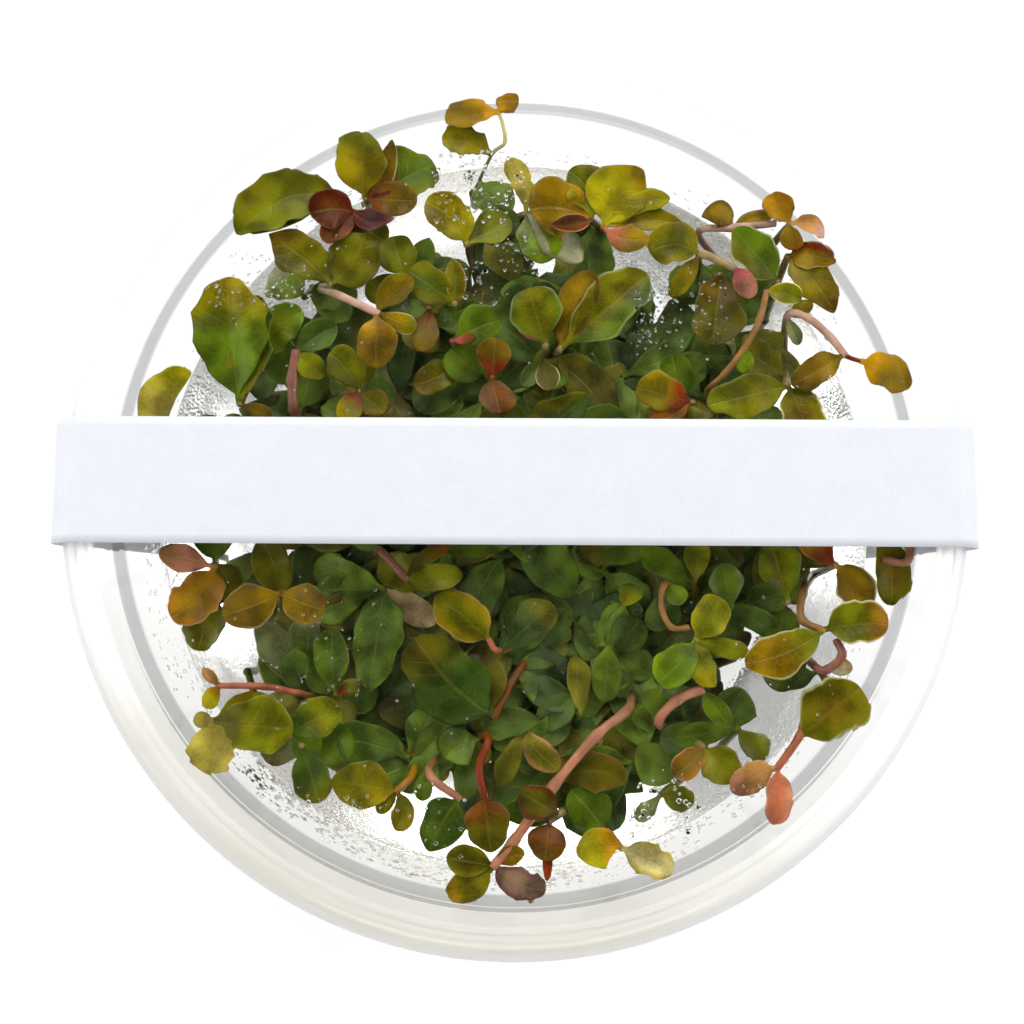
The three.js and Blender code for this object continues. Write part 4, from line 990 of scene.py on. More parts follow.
def mottle_group() -> bpy.types.NodeTree:
    """Build the uneven colour of a grown or pressed surface.

    Returns:
        A group that darkens and lightens a colour by blotches and fine speckles.
    """
    first = {"Color": (0.5, 0.5, 0.5, 1), "Scale": 400.0, "Depth": 0.3, "Speckle": 0.1}
    tree, nodes, given, colour = new_group("mottle", first, "Color")
    place = nodes.place()
    blotch = nodes.noise(place, given["Scale"], 0.5)
    fine = nodes.noise(place, nodes.math("MULTIPLY", given["Scale"], 7.0))
    swing = nodes.math("SUBTRACT", nodes.ramp(blotch, 0.3, 0.7), 0.5)
    dots = nodes.math("SUBTRACT", nodes.ramp(fine, 0.35, 0.65), 0.5)
    level = nodes.math("MULTIPLY_ADD", swing, given["Depth"], 1.0)
    level = nodes.math("MULTIPLY_ADD", dots, given["Speckle"], level)
    scaled = nodes.add("VectorMath", {0: given["Color"], "Scale": level}, operation="SCALE")
    nodes.feed(colour, scaled.outputs[0])
    return tree


def scuff_group() -> bpy.types.NodeTree:
    """Build the roughness of clear plastic that has been handled.

    Returns:
        A group that adds cloudy marks to a roughness.
    """
    first = {"Roughness": 0.1, "Marks": 0.05, "Scale": 60.0}
    tree, nodes, given, roughness = new_group("scuff", first, "Roughness")
    cloud = nodes.noise(nodes.place(), given["Scale"])
    marks = nodes.ramp(cloud, 0.56, 0.78)
    nodes.feed(roughness, nodes.math("MULTIPLY_ADD", marks, given["Marks"], given["Roughness"]))
    return tree


def painted_front_shade_group() -> bpy.types.NodeTree:
    """Build the painted shade of the clear parts, whose colour is warmer and greyer at the front.

    Returns:
        A group that goes from one colour at the back to a painted shade colour at the front, a little
        unevenly.
    """
    first = {"Back": (1.0, 1.0, 1.0, 1), "Front": (0.7, 0.7, 0.7, 1)}
    tree, nodes, given, colour = new_group("painted_front_shade", first, "Color")
    place = nodes.place()
    parts = nodes.add("SeparateXYZ", {0: place}).outputs
    depth = nodes.math("MULTIPLY_ADD", parts["X"], 0.25, parts["Y"])
    uneven = nodes.math("MULTIPLY_ADD", nodes.noise(place, 90.0), 0.016, depth)
    share = nodes.fall(uneven, -0.04, -0.008)
    nodes.feed(colour, nodes.mix(share, given["Back"], given["Front"]))
    return tree


def painted_shade_ring_group() -> bpy.types.NodeTree:
    """Build the mask of a painted shade ring round the inside of the cup, which stands in for the grey
    shade round the edge of the lid's sunken panel.

    Returns:
        A group whose ring is a little lower and taller at the front.
    """
    tree, nodes, _, mask = new_group("painted_shade_ring", {}, "Mask")
    parts = nodes.add("SeparateXYZ", {0: nodes.place()}).outputs
    low = nodes.math("MULTIPLY_ADD", parts["Y"], -0.038, parts["Z"])
    high = nodes.math("MULTIPLY_ADD", parts["Y"], -0.026, parts["Z"])
    ring = nodes.math("MULTIPLY", nodes.ramp(low, 0.0335, 0.0346), nodes.fall(high, 0.0359, 0.0362))
    nodes.feed(mask, ring)
    return tree


@dataclass
class Workshop:
    """The node groups that several finishes share."""

    wet_relief: bpy.types.NodeTree
    mottle: bpy.types.NodeTree
    scuff: bpy.types.NodeTree
    painted_front_shade: bpy.types.NodeTree
    painted_shade_ring: bpy.types.NodeTree

    @classmethod
    def open(cls) -> Workshop:
        """Build each group once."""
        return cls(wet_relief_group(), mottle_group(), scuff_group(), painted_front_shade_group(), painted_shade_ring_group())


def new_material(name: str) -> tuple[bpy.types.Material, Nodes, bpy.types.Node]:
    """Start a material with a bare Principled surface.

    Args:
        name: the material's name.

    Returns:
        The material, its nodes and its Principled node.
    """
    material = bpy.data.materials.new(name)
    material.use_nodes = True
    surface = material.node_tree.nodes["Principled BSDF"]
    return material, Nodes(material.node_tree), surface


def faint_shadow(nodes: Nodes) -> bpy.types.NodeSocket:
    """The alpha of a clear surface that lets most of the lamps' light through."""
    shadow_ray = nodes.add("LightPath").outputs["Is Shadow Ray"]
    return nodes.math("MULTIPLY_ADD", shadow_ray, -LIGHT_LET_THROUGH, 1.0)


@dataclass(frozen=True)
class ClearPlastic:
    """Clear or milky moulded plastic, with fine handling marks, and painted shade that greys it towards the
    front.
    """

    name: str
    colour: Colour
    # Its colour at the front, a painted shade
    front: Colour
    roughness: float
    marks: float
    transmission: float = 1.0
    ior: float = 1.46
    # The grey of a painted shade ring, where the finish has one
    painted_shade_band: Colour | None = None

    def build(self, shop: Workshop) -> bpy.types.Material:
        """Make the material.

        Args:
            shop: the shared node groups.

        Returns:
            The material.
        """
        material, nodes, surface = new_material(self.name)
        # Painted shade: the colour goes from the back colour to the greyer front colour.
        colour = nodes.group(shop.painted_front_shade, {"Back": (*self.colour, 1), "Front": (*self.front, 1)})
        # Painted shade: a grey ring round the inside of the cup, in place of the shade round the edge of
        # the lid's sunken panel.
        if self.painted_shade_band:
            colour = nodes.mix(nodes.group(shop.painted_shade_ring, {}), colour, (*self.painted_shade_band, 1))
        worn = {"Roughness": self.roughness, "Marks": self.marks}
        nodes.dress(surface, {
            "Base Color": colour,
            "Roughness": nodes.group(shop.scuff, worn),
            "Transmission Weight": self.transmission,
            "IOR": self.ior,
            "Alpha": faint_shadow(nodes),
        })
        return material


@dataclass(frozen=True)
class WetGel:
    """Set clear gel or water: clear and wet, uneven where it has a relief, and painted greyer towards the
    front as shade.
    """

    name: str
    colour: Colour
    # Its colour at the front, a painted shade
    front: Colour
    roughness: float
    relief: float
    ior: float = 1.34

    def build(self, shop: Workshop) -> bpy.types.Material:
        """Make the material.

        Args:
            shop: the shared node groups.

        Returns:
            The material.
        """
        material, nodes, surface = new_material(self.name)
        # Painted shade: the colour goes from the back colour to the greyer front colour.
        nodes.dress(surface, {
            "Base Color": nodes.group(shop.painted_front_shade, {"Back": (*self.colour, 1), "Front": (*self.front, 1)}),
            "Roughness": self.roughness,
            "Transmission Weight": 1.0,
            "IOR": self.ior,
            "Alpha": faint_shadow(nodes),
        })
        if self.relief:
            swells = nodes.group(shop.wet_relief, {})
            nodes.feed(surface.inputs["Normal"], nodes.bump(swells, self.relief, 0.0006))
        return material


@dataclass(frozen=True)
class LeafFinish:
    """Leaf skin: its own tones, a pale midrib and veins, a painted highlight along the rim, speckles and a
    wet shine.
    """

    roughness: float = 0.24
    shine: float = 0.09
    vein: float = 0.28
    veins_along: float = 7.0
    vein_colour: Colour = (0.17, 0.16, 0.02)
    rim_highlight_colour: Colour = (0.55, 0.5, 0.26)

    def lines(self, nodes: Nodes, across: object, along: object) -> bpy.types.NodeSocket:
        """Draw the midrib and the slanting side veins.

        Args:
            nodes: the material's nodes.
            across: how far the surface is from the midrib, from 0 to 1.
            along: how far it is towards the tip, from 0 to 1.

        Returns:
            The mask of the lines.
        """
        rib = nodes.fall(across, 0.02, 0.1)
        slant = nodes.math("MULTIPLY_ADD", across, -0.22, along)
        wave = nodes.math("PINGPONG", nodes.math("MULTIPLY", slant, self.veins_along), 0.5)
        side = nodes.math("MULTIPLY", nodes.fall(wave, 0.03, 0.12), nodes.math("SUBTRACT", 0.95, across))
        return nodes.math("MAXIMUM", rib, nodes.math("MULTIPLY", side, 0.45))

    def build(self, shop: Workshop) -> bpy.types.Material:
        """Make the material.

        Args:
            shop: the shared node groups.

        Returns:
            The material.
        """
        material, nodes, surface = new_material("leaf")
        tone = nodes.add("Attribute", attribute_name="tone").outputs["Color"]
        marks = nodes.add("Attribute", attribute_name="marks").outputs["Vector"]
        split = nodes.add("SeparateXYZ", {0: marks}).outputs
        across = nodes.math("ABSOLUTE", split["X"])
        lines = self.lines(nodes, across, split["Y"])
        blotches = {"Color": tone, "Scale": 430.0, "Depth": 0.75, "Speckle": 0.16}
        mottled = nodes.group(shop.mottle, blotches)
        pale = nodes.mix(0.5, mottled, (*self.vein_colour, 1))
        colour = nodes.mix(nodes.math("MULTIPLY", lines, self.vein), mottled, pale)
        # Painted highlight: the margin turns to the pale rim colour, as strongly as the leaf's rim value.
        edge = nodes.math("MULTIPLY", nodes.ramp(across, 0.86, 0.97), split["Z"])
        swells = nodes.noise(nodes.place(), 420.0)
        nodes.dress(surface, {
            "Base Color": nodes.mix(edge, colour, (*self.rim_highlight_colour, 1)),
            "Roughness": self.roughness,
            "Specular IOR Level": self.shine,
            "Normal": nodes.bump(nodes.math("MULTIPLY_ADD", lines, -0.5, swells), 0.35, 0.00035),
        })
        return material


@dataclass(frozen=True)
class StemFinish:
    """Stem skin: its own tones with streaks, and a wet shine."""

    roughness: float = 0.3
    shine: float = 0.2

    def build(self, shop: Workshop) -> bpy.types.Material:
        """Make the material.

        Args:
            shop: the shared node groups.

        Returns:
            The material.
        """
        material, nodes, surface = new_material("stem")
        tone = nodes.add("Attribute", attribute_name="tone").outputs["Color"]
        nodes.dress(surface, {
            "Base Color": nodes.group(shop.mottle, {"Color": tone, "Scale": 700.0, "Depth": 0.35}),
            "Roughness": self.roughness,
            "Specular IOR Level": self.shine,
            "Normal": nodes.bump(nodes.group(shop.wet_relief, {}), 0.3, 0.0002),
        })
        return material


@dataclass(frozen=True)
class PaperFinish:
    """Coated white paper with faint fibres."""

    colour: Colour = (0.645, 0.67, 0.71)
    roughness: float = 0.55

    def build(self, shop: Workshop) -> bpy.types.Material:
        """Make the material.

        Args:
            shop: the shared node groups.

        Returns:
            The material.
        """
        material, nodes, surface = new_material("paper")
        clouds = {"Color": (*self.colour, 1), "Scale": 260.0, "Depth": 0.02, "Speckle": 0.02}
        fibres = nodes.group(shop.wet_relief, {"Swell Scale": 120.0, "Grain": 0.2})
        nodes.dress(surface, {
            "Base Color": nodes.group(shop.mottle, clouds),
            "Roughness": self.roughness,
            "Normal": nodes.bump(fibres, 0.12, 0.0002),
        })
        return material


def rounded(profile: Profile, radius: float, steps: int = 4) -> list[tuple[float, float]]:
    """Round a profile's corners by small arcs.

    Args:
        profile: its corners, each a pair of lengths.
        radius: how far from a corner its rounding starts, at most.
        steps: points in each rounding, less one.

    Returns:
        The profile with more points.
    """
    ends = [profile[0]]
    for before, corner, after in zip(profile, profile[1:], profile[2:]):
        middle, first, last = (np.array(point, float) for point in (corner, before, after))
        to_first, to_last = np.linalg.norm(first - middle), np.linalg.norm(last - middle)
        reach = min(radius, 0.45 * to_first, 0.45 * to_last)
        start = middle + (first - middle) / to_first * reach
        end = middle + (last - middle) / to_last * reach
        for step in range(steps + 1):
            share = step / steps
            point = start * (1 - share) ** 2 + middle * 2 * share * (1 - share) + end * share ** 2
            ends.append((float(point[0]), float(point[1])))
    ends.append(profile[-1])
    return ends


@dataclass
class CupShell:
    """The clear tapered cup."""

    segments: int = 160
    # Heights of the painted shade ring on the inner wall
    shade_ring_top: float = 38.6
    shade_ring_foot: float = 31.0

    def profile(self) -> list[tuple[float, float]]:
        """Half section of the cup, from the axis underneath to the axis on its floor."""
        size = VESSEL
        corner = size.floor + 3 * size.edge_round
        return [
            (0.0, 0.0),
            (size.floor_radius - size.edge_round, 0.0),
            (size.outer_wall(size.floor), size.floor),
            (size.outer_wall(size.flange_under), size.flange_under),
            (size.flange_radius, size.flange_under),
            (size.flange_radius, size.cup_top),
            (size.mouth_radius, size.cup_top),
            (size.mouth_radius, size.mouth_height),
            (size.inner_wall(self.shade_ring_top), self.shade_ring_top),
            (size.inner_wall(self.shade_ring_foot), self.shade_ring_foot),
            (size.inner_wall(corner), corner),
            (size.floor_radius - 3 * size.edge_round, size.floor),
            (0.0, size.floor),
        ]

    def finish(self, radius: float, height: float) -> int:
        """Which finish a face has: the upper part of the inner wall carries the painted shade ring."""
        on_inner_wall = abs(radius - VESSEL.inner_wall(height)) < VESSEL.wall / 3
        return 1 if self.shade_ring_foot < height < self.shade_ring_top and on_inner_wall else 0

    def build(self, shop: Workshop) -> None:
        """Mesh the cup and dress it.

        Args:
            shop: the shared node groups.
        """
        skin = Skin()
        skin.turn(rounded(self.profile(), VESSEL.edge_round), self.segments, self.finish)
        # Painted shade: each clear finish goes from its back colour to a greyer, warmer front colour.
        back, front = (0.99, 0.99, 0.985), (0.95, 0.945, 0.925)
        clear = ClearPlastic("cup_clear", back, front, 0.0, 0.15, ior=1.3)
        # Painted shade: the grey ring that stands in for the shade round the edge of the lid's sunken panel
        painted_shade_ringed = ClearPlastic("cup_painted_shade_ring", back, front, 0.0, 0.15, ior=1.3, painted_shade_band=(0.34, 0.345, 0.345))
        skin.build("cup_shell", [clear.build(shop), painted_shade_ringed.build(shop)], "cup_plastic", ["cup"])


@dataclass
class LidShell:
    """The press-on lid: a clear sunken panel in a milky raised rim with a skirt and lip."""

    segments: int = 192
    panel_edge: float = 42.8
    clear_radius: float = 46.2

    def profile(self) -> list[tuple[float, float]]:
        """Half section of the lid, from the axis under its panel to the axis on its panel."""
        size = VESSEL
        under = size.panel_height - size.lid_wall
        rim_under = size.cup_top + size.gap
        skirt = size.flange_radius + size.gap
        bead = size.flange_under - size.gap - size.edge_round
        foot = bead - size.edge_round
        return [
            (0.0, under),
            (self.panel_edge, under),
            (size.panel_radius + size.edge_round, under),
            (size.rim_inner_radius + size.lid_wall, rim_under),
            (self.clear_radius, rim_under),
            (skirt, rim_under),
            (skirt, size.flange_under - size.gap),
            (size.flange_radius - size.edge_round, bead),
            (size.flange_radius, foot),
            (size.lip_radius - size.edge_round, foot),
            (size.lip_radius, bead),
            (skirt + size.lid_wall, size.flange_under + size.edge_round),
            (skirt + size.lid_wall, size.rim_height - 2 * size.edge_round),
            (skirt - size.edge_round, size.rim_height),
            (self.clear_radius, size.rim_height),
            (size.rim_inner_radius, size.rim_height),
            (size.panel_radius, size.panel_height),
            (self.panel_edge, size.panel_height),
            (0.0, size.panel_height),
        ]

    def finish(self, radius: float, height: float) -> int:
        """Which finish a face has, counted from the middle outwards."""
        limits = (self.panel_edge, VESSEL.rim_inner_radius, self.clear_radius, VESSEL.flange_radius + 0.2)
        return sum(radius > limit for limit in limits)

    def build(self, shop: Workshop) -> None:
        """Mesh the lid and dress it.

        Args:
            shop: the shared node groups.
        """
        skin = Skin()
        skin.turn(rounded(self.profile(), VESSEL.edge_round), self.segments, self.finish)
        # Painted shade: each finish goes from its back colour to a greyer, warmer front colour.
        finishes = (
            ClearPlastic("lid_panel", (0.995, 0.995, 0.99), (0.98, 0.975, 0.96), 0.0, 0.08, ior=1.2),
            ClearPlastic("lid_recess_wall", (0.97, 0.975, 0.975), (0.96, 0.96, 0.95), 0.0, 0.08, ior=1.06),
            ClearPlastic("lid_rim_inner", (0.99, 0.99, 0.985), (0.88, 0.87, 0.82), 0.0, 0.1, ior=1.15),
            ClearPlastic("lid_rim", (0.98, 0.98, 0.975), (0.76, 0.75, 0.7), 0.45, 0.06, 0.8, 1.2),
            ClearPlastic("lid_skirt", (0.8, 0.805, 0.81), (0.7, 0.69, 0.66), 0.4, 0.05, 0.75, 1.2),
        )
        skin.build("lid_shell", [finish.build(shop) for finish in finishes], "lid_plastic", ["lid"])


@dataclass
class GelBed:
    """The set gel: its creep up the wall, its lumps round the shoots, its wet skin."""

    segments: int = 192
    rings: int = 70
    creep_steps: int = 12
    lumps: tuple[tuple[float, float, float, float], ...] = (
        (-4.5, 42.0, 6.0, 1.6), (-5.0, 24.0, 4.0, 1.4), (-34.0, 27.0, 6.0, 1.2), (-16.0, -42.0, 8.0, 1.0),
        (20.0, -38.0, 7.0, 1.2), (14.0, 22.0, 4.0, 1.2), (-38.0, 22.0, 3.0, 1.4),
    )

    @property
    def reach(self) -> float:
        """Radius of the gel's top edge at the cup's wall."""
        return VESSEL.inner_wall(VESSEL.gel_height + VESSEL.gel_creep) - VESSEL.gap

    @property
    def inner(self) -> float:
        """Radius at which the gel starts to creep up the wall."""
        return self.reach - 3 * VESSEL.gel_creep

    def lift(self, x: float, y: float, height: float) -> float:
        """Find how far a point is raised by swells, fine waves and creased lumps.

        Args:
            x: its place along the strip.
            y: its place towards the back.
            height: its plain height.

        Returns:
            How much higher the point is, which is nothing at the wall and below the skin.
        """
        if height <= VESSEL.gel_height - 1:
            return 0.0
        swell = noise.noise(Vector((x * 0.16, y * 0.16, 3.0))) * 0.35
        fine = noise.noise(Vector((x * 0.7, y * 0.7, 7.0))) * 0.1
        crease = abs(noise.noise(Vector((x * 0.55, y * 0.55, 11.0)))) * 1.6
        heap = 0.0
        for lump_x, lump_y, reach, rise in self.lumps:
            near = math.exp(-((x - lump_x) ** 2 + (y - lump_y) ** 2) / reach ** 2)
            heap += near * rise * crease
        still_at_wall = min(1, max(0, (self.inner + 1 - math.hypot(x, y)) / 4))
        return (swell + fine + heap) * still_at_wall

    def profile(self) -> list[tuple[float, float]]:
        """Half section of the gel, from the axis underneath, up the wall and in to the axis."""
        size = VESSEL
        edge = size.gel_height + size.gel_creep
        corner = size.floor + 1.5
        points = [
            (0.0, size.floor + size.gap),
            (size.floor_radius - 4 * size.edge_round, size.floor + size.gap),
            (size.inner_wall(corner) - size.gap, corner),
            (self.reach - 0.03, edge - 0.3),
            (self.reach, edge - 0.05),
        ]
        low = size.gel_height - size.gap
        for step in range(1, self.creep_steps + 1):
            share = step / self.creep_steps
            rise = (size.gel_creep + size.gap) * (1 - share) ** 2
            points.append((self.reach - (self.reach - self.inner) * share, low + rise))
        for step in range(1, self.rings + 1):
            share = 1 - step / self.rings
            points.append((self.inner * share, size.gel_height - size.gap * share))
        return points

    def build(self, shop: Workshop) -> None:
        """Mesh the gel and dress it.

        Args:
            shop: the shared node groups.
        """
        skin = Skin()
        skin.turn(self.profile(), self.segments, lift=self.lift)
        # Painted shade: the gel goes from its back colour to a greyer, warmer front colour.
        gel = WetGel("gel_clear", (0.97, 0.975, 0.96), (0.84, 0.82, 0.73), 0.08, 0.35)
        skin.build("gel_bed", [gel.build(shop)], "gel", ["gel"])


@dataclass
class PaperStrip:
    """The bare paper strip across the lid, folded down and stuck to the cup on both sides."""

    width: float = 13.8
    thickness: float = 0.18
    allowed: float = 0.3
    offset: float = 0.85
    turned: float = -0.0054
    flat_half: float = 46.0
    flat_steps: int = 40
    stuck_height: float = 24.0
    end_height: float = 12.0
    columns: int = 14

    def half_route(self) -> list[tuple[float, float]]:
        """The strip's middle line on the +X side as (x, z), from the rim to its stuck end."""
        size = VESSEL
        rest = self.allowed / 2 + size.gap
        top = size.rim_height + rest
        lip = size.lip_radius + rest
        corners = [
            (self.flat_half, top),
            (48.6, top - 0.1),
            (50.2, top - 1.1),
            (lip - 0.06, top - 2.4),
            (lip - 0.02, size.flange_under - 0.8),
            (lip - 0.4, size.flange_under - 2.6),
            (size.outer_wall(self.stuck_height) + rest + 0.1, self.stuck_height),
            (size.outer_wall(self.end_height) + rest + 0.1, self.end_height),
        ]
        return rounded(corners, 1.2, 5)

    def route(self) -> list[tuple[float, float]]:
        """The strip's whole middle line as (x, z), from its left end to its right end."""
        right = self.half_route()
        left = [(-x, z) for x, z in reversed(right)]
        steps = self.flat_steps
        flat = [(self.flat_half * (1 - 2 * step / steps), right[0][1]) for step in range(1, steps)]
        return left + list(reversed(flat)) + right

    def row(self, x: float, z: float, out: np.ndarray) -> list[Point]:
        """Find one cross section of the strip.

        Args:
            x: its middle's place along the strip.
            z: its middle's height.
            out: the way to its outer side as (x, z), half a thickness long.

        Returns:
            The points of its outer side and then of its inner side.
        """
        points = []
        cos, sin = math.cos(self.turned), math.sin(self.turned)
        for layer in (1, -1):
            for column in range(self.columns + 1):
                across = (column / self.columns - 0.5) * self.width
                flutter = 0.05 * noise.noise(Vector((x * 0.09, across * 0.16, z * 0.09)))
                px = x + out[0] * layer
                py = self.offset + across
                pz = min(z + out[1] * layer + flutter, VESSEL.rim_height + 0.6)
                points.append((px * cos - py * sin, px * sin + py * cos, pz))
        return points

    def faces(self, rows: int) -> list[tuple[int, ...]]:
        """The faces of a closed strip of this many cross sections."""
        count = self.columns + 1
        span = 2 * count
        faces = []
        for index in range(rows - 1):
            here, there = index * span, (index + 1) * span
            for column in range(self.columns):
                low = count + column
                faces.append((here + column, there + column, there + column + 1, here + column + 1))
                faces.append((here + low, here + low + 1, there + low + 1, there + low))
            faces.append((here, here + count, there + count, there))
            far_here, far_there = here + self.columns, there + self.columns
            faces.append((far_here, far_there, far_there + count, far_here + count))
        for start in (0, (rows - 1) * span):
            for column in range(start, start + self.columns):
                face = (column, column + 1, column + count + 1, column + count)
                faces.append(tuple(reversed(face)) if start else face)
        return faces

    def build(self, shop: Workshop) -> None:
        """Mesh the strip and dress it.

        Args:
            shop: the shared node groups.
        """
        route = self.route()
        ways = np.gradient(np.array(route, float), axis=0)
        ways /= np.linalg.norm(ways, axis=1)[:, None]
        outs = np.stack([-ways[:, 1], ways[:, 0]], axis=1) * self.thickness / 2
        points = [point for (x, z), out in zip(route, outs) for point in self.row(x, z, out)]
        skin = Skin()
        skin.add(points, self.faces(len(route)))
        skin.build("paper_band", [PaperFinish().build(shop)], "paper", ["paper_strip"])


def smooth_step(low: float, high: float, value: np.ndarray) -> np.ndarray:
    """Goes smoothly from 0 at low to 1 at high."""
    share = np.clip((value - low) / (high - low), 0, 1)
    return share * share * (3 - 2 * share)


@dataclass(frozen=True)
class Stem:
    """One stem: a tube along a smooth curve through its points, thicker at its nodes."""

    points: Sequence[Vector]
    tone: Tone
    radius: float
    seed: int
    sides: int = 9
    steps: int = 6

    def route(self) -> list[Vector]:
        """Points along the curve, the last a little beyond its end."""
        padded = [self.points[0], *self.points, self.points[-1]]
        route: list[Vector] = []
        for a, b, c, d in zip(padded, padded[1:], padded[2:], padded[3:]):
            for step in range(self.steps):
                t = step / self.steps
                route.append(0.5 * ((2 * b) + (c - a) * t + (2 * a - 5 * b + 4 * c - d) * t * t
                                    + (3 * b - a - 3 * c + d) * t ** 3))
        way = (self.points[-1] - self.points[-2]).normalized()
        route.append(self.points[-1] + way * self.radius * 0.6)
        return route

    def reach(self, index: int, count: int, point: Vector) -> float:
        """How far the tube's surface is from its middle line at one point of the route."""
        node = 1.0 + 0.22 * math.exp(-((index % self.steps) / 1.2) ** 2) * (index > self.steps)
        wobble = 1 + 0.1 * noise.noise(point * 0.6)
        return self.radius * node * wobble * (0.75 if index == count - 1 else 1)

    def colour(self, index: int, point: Vector) -> np.ndarray:
        """The tone at one point of the route: olive at the foot, then the stem's own."""
        low, high = np.array(Tone.OLIVE.colour), np.array(self.tone.colour)
        share = min(1.0, max(0.0, index / self.steps - 0.3))
        uneven = 1 + 0.18 * noise.noise(point * 0.9 + Vector((self.seed, 0, 0)))
        return (low * (1 - share) + high * share) * uneven

    def add_to(self, skin: Skin) -> None:
        """Add the stem to a mesh."""
        route = self.route()
        count = len(route)
        side = Vector((1, 0, 0))
        vertices, faces, tones = [], [], []
        for index, point in enumerate(route):
            before, after = route[max(index - 1, 0)], route[min(index + 1, count - 1)]
            way = (after - before).normalized()
            side = (side - way * side.dot(way)).normalized()
            other = way.cross(side)
            reach = self.reach(index, count, point)
            for corner in range(self.sides):
                angle = 2 * math.pi * corner / self.sides
                spot = point + side * (math.cos(angle) * reach) + other * (math.sin(angle) * reach)
                vertices.append((spot.x, spot.y, min(spot.z, VESSEL.ceiling)))
            tones.extend([self.colour(index, point)] * self.sides)
        for here in range(0, (count - 1) * self.sides, self.sides):
            there = here + self.sides
            for corner in range(self.sides):
                after = (corner + 1) % self.sides
                faces.append((here + corner, here + after, there + after, there + corner))
        faces.append(tuple(reversed(range(self.sides))))
        faces.append(tuple(range(len(vertices) - self.sides, len(vertices))))
        skin.add(vertices, faces, 1, tones, [(0.5, 0.5, 0.0)] * len(vertices))


@dataclass(frozen=True)
class Grid:
    """How finely a blade is meshed, how thick it is and how much of it is stalk."""

    stations: int = 19
    columns: tuple[float, ...] = (-1, -0.95, -0.8, -0.55, -0.27, 0, 0.27, 0.55, 0.8, 0.95, 1)
    thickness: float = 0.24
    petiole: float = 0.1


@dataclass(frozen=True)
class Habit:
    """The small irregularities of one leaf, drawn by chance, with the painted shade that makes one half of
    it lighter than the other.
    """

    petiole: float
    rise_power: float
    fall_power: float
    cup: float
    fold: float
    bias: float
    arch: float
    ripple: float
    phase: float
    turns: float
    twist: float

    @classmethod
    def draw(cls, leaf: Leaf, petiole: float, dice: random.Random) -> Habit:
        """Draw a leaf's habit, one value after the other in the order of the fields.

        Args:
            leaf: its form, curl and fold.
            petiole: the usual share of stalk in its length.
            dice: draws the values.

        Returns:
            The habit.
        """
        rise_power, fall_power = leaf.form.value
        return cls(
            petiole=petiole * dice.uniform(0.6, 1.2),
            rise_power=rise_power * dice.uniform(0.92, 1.1),
            fall_power=fall_power * dice.uniform(0.92, 1.1),
            cup=dice.uniform(-0.06, 0.2) + leaf.curl,
            fold=dice.uniform(0.02, 0.22) + leaf.fold,
            bias=dice.choice((-1, 1)) * dice.uniform(0.04, 0.16),
            arch=dice.uniform(-0.02, 0.07),
            ripple=dice.uniform(0.015, 0.045),
            phase=dice.uniform(0, 6.28),
            turns=dice.uniform(1.5, 3.0),
            twist=dice.uniform(-0.16, 0.16),
        )


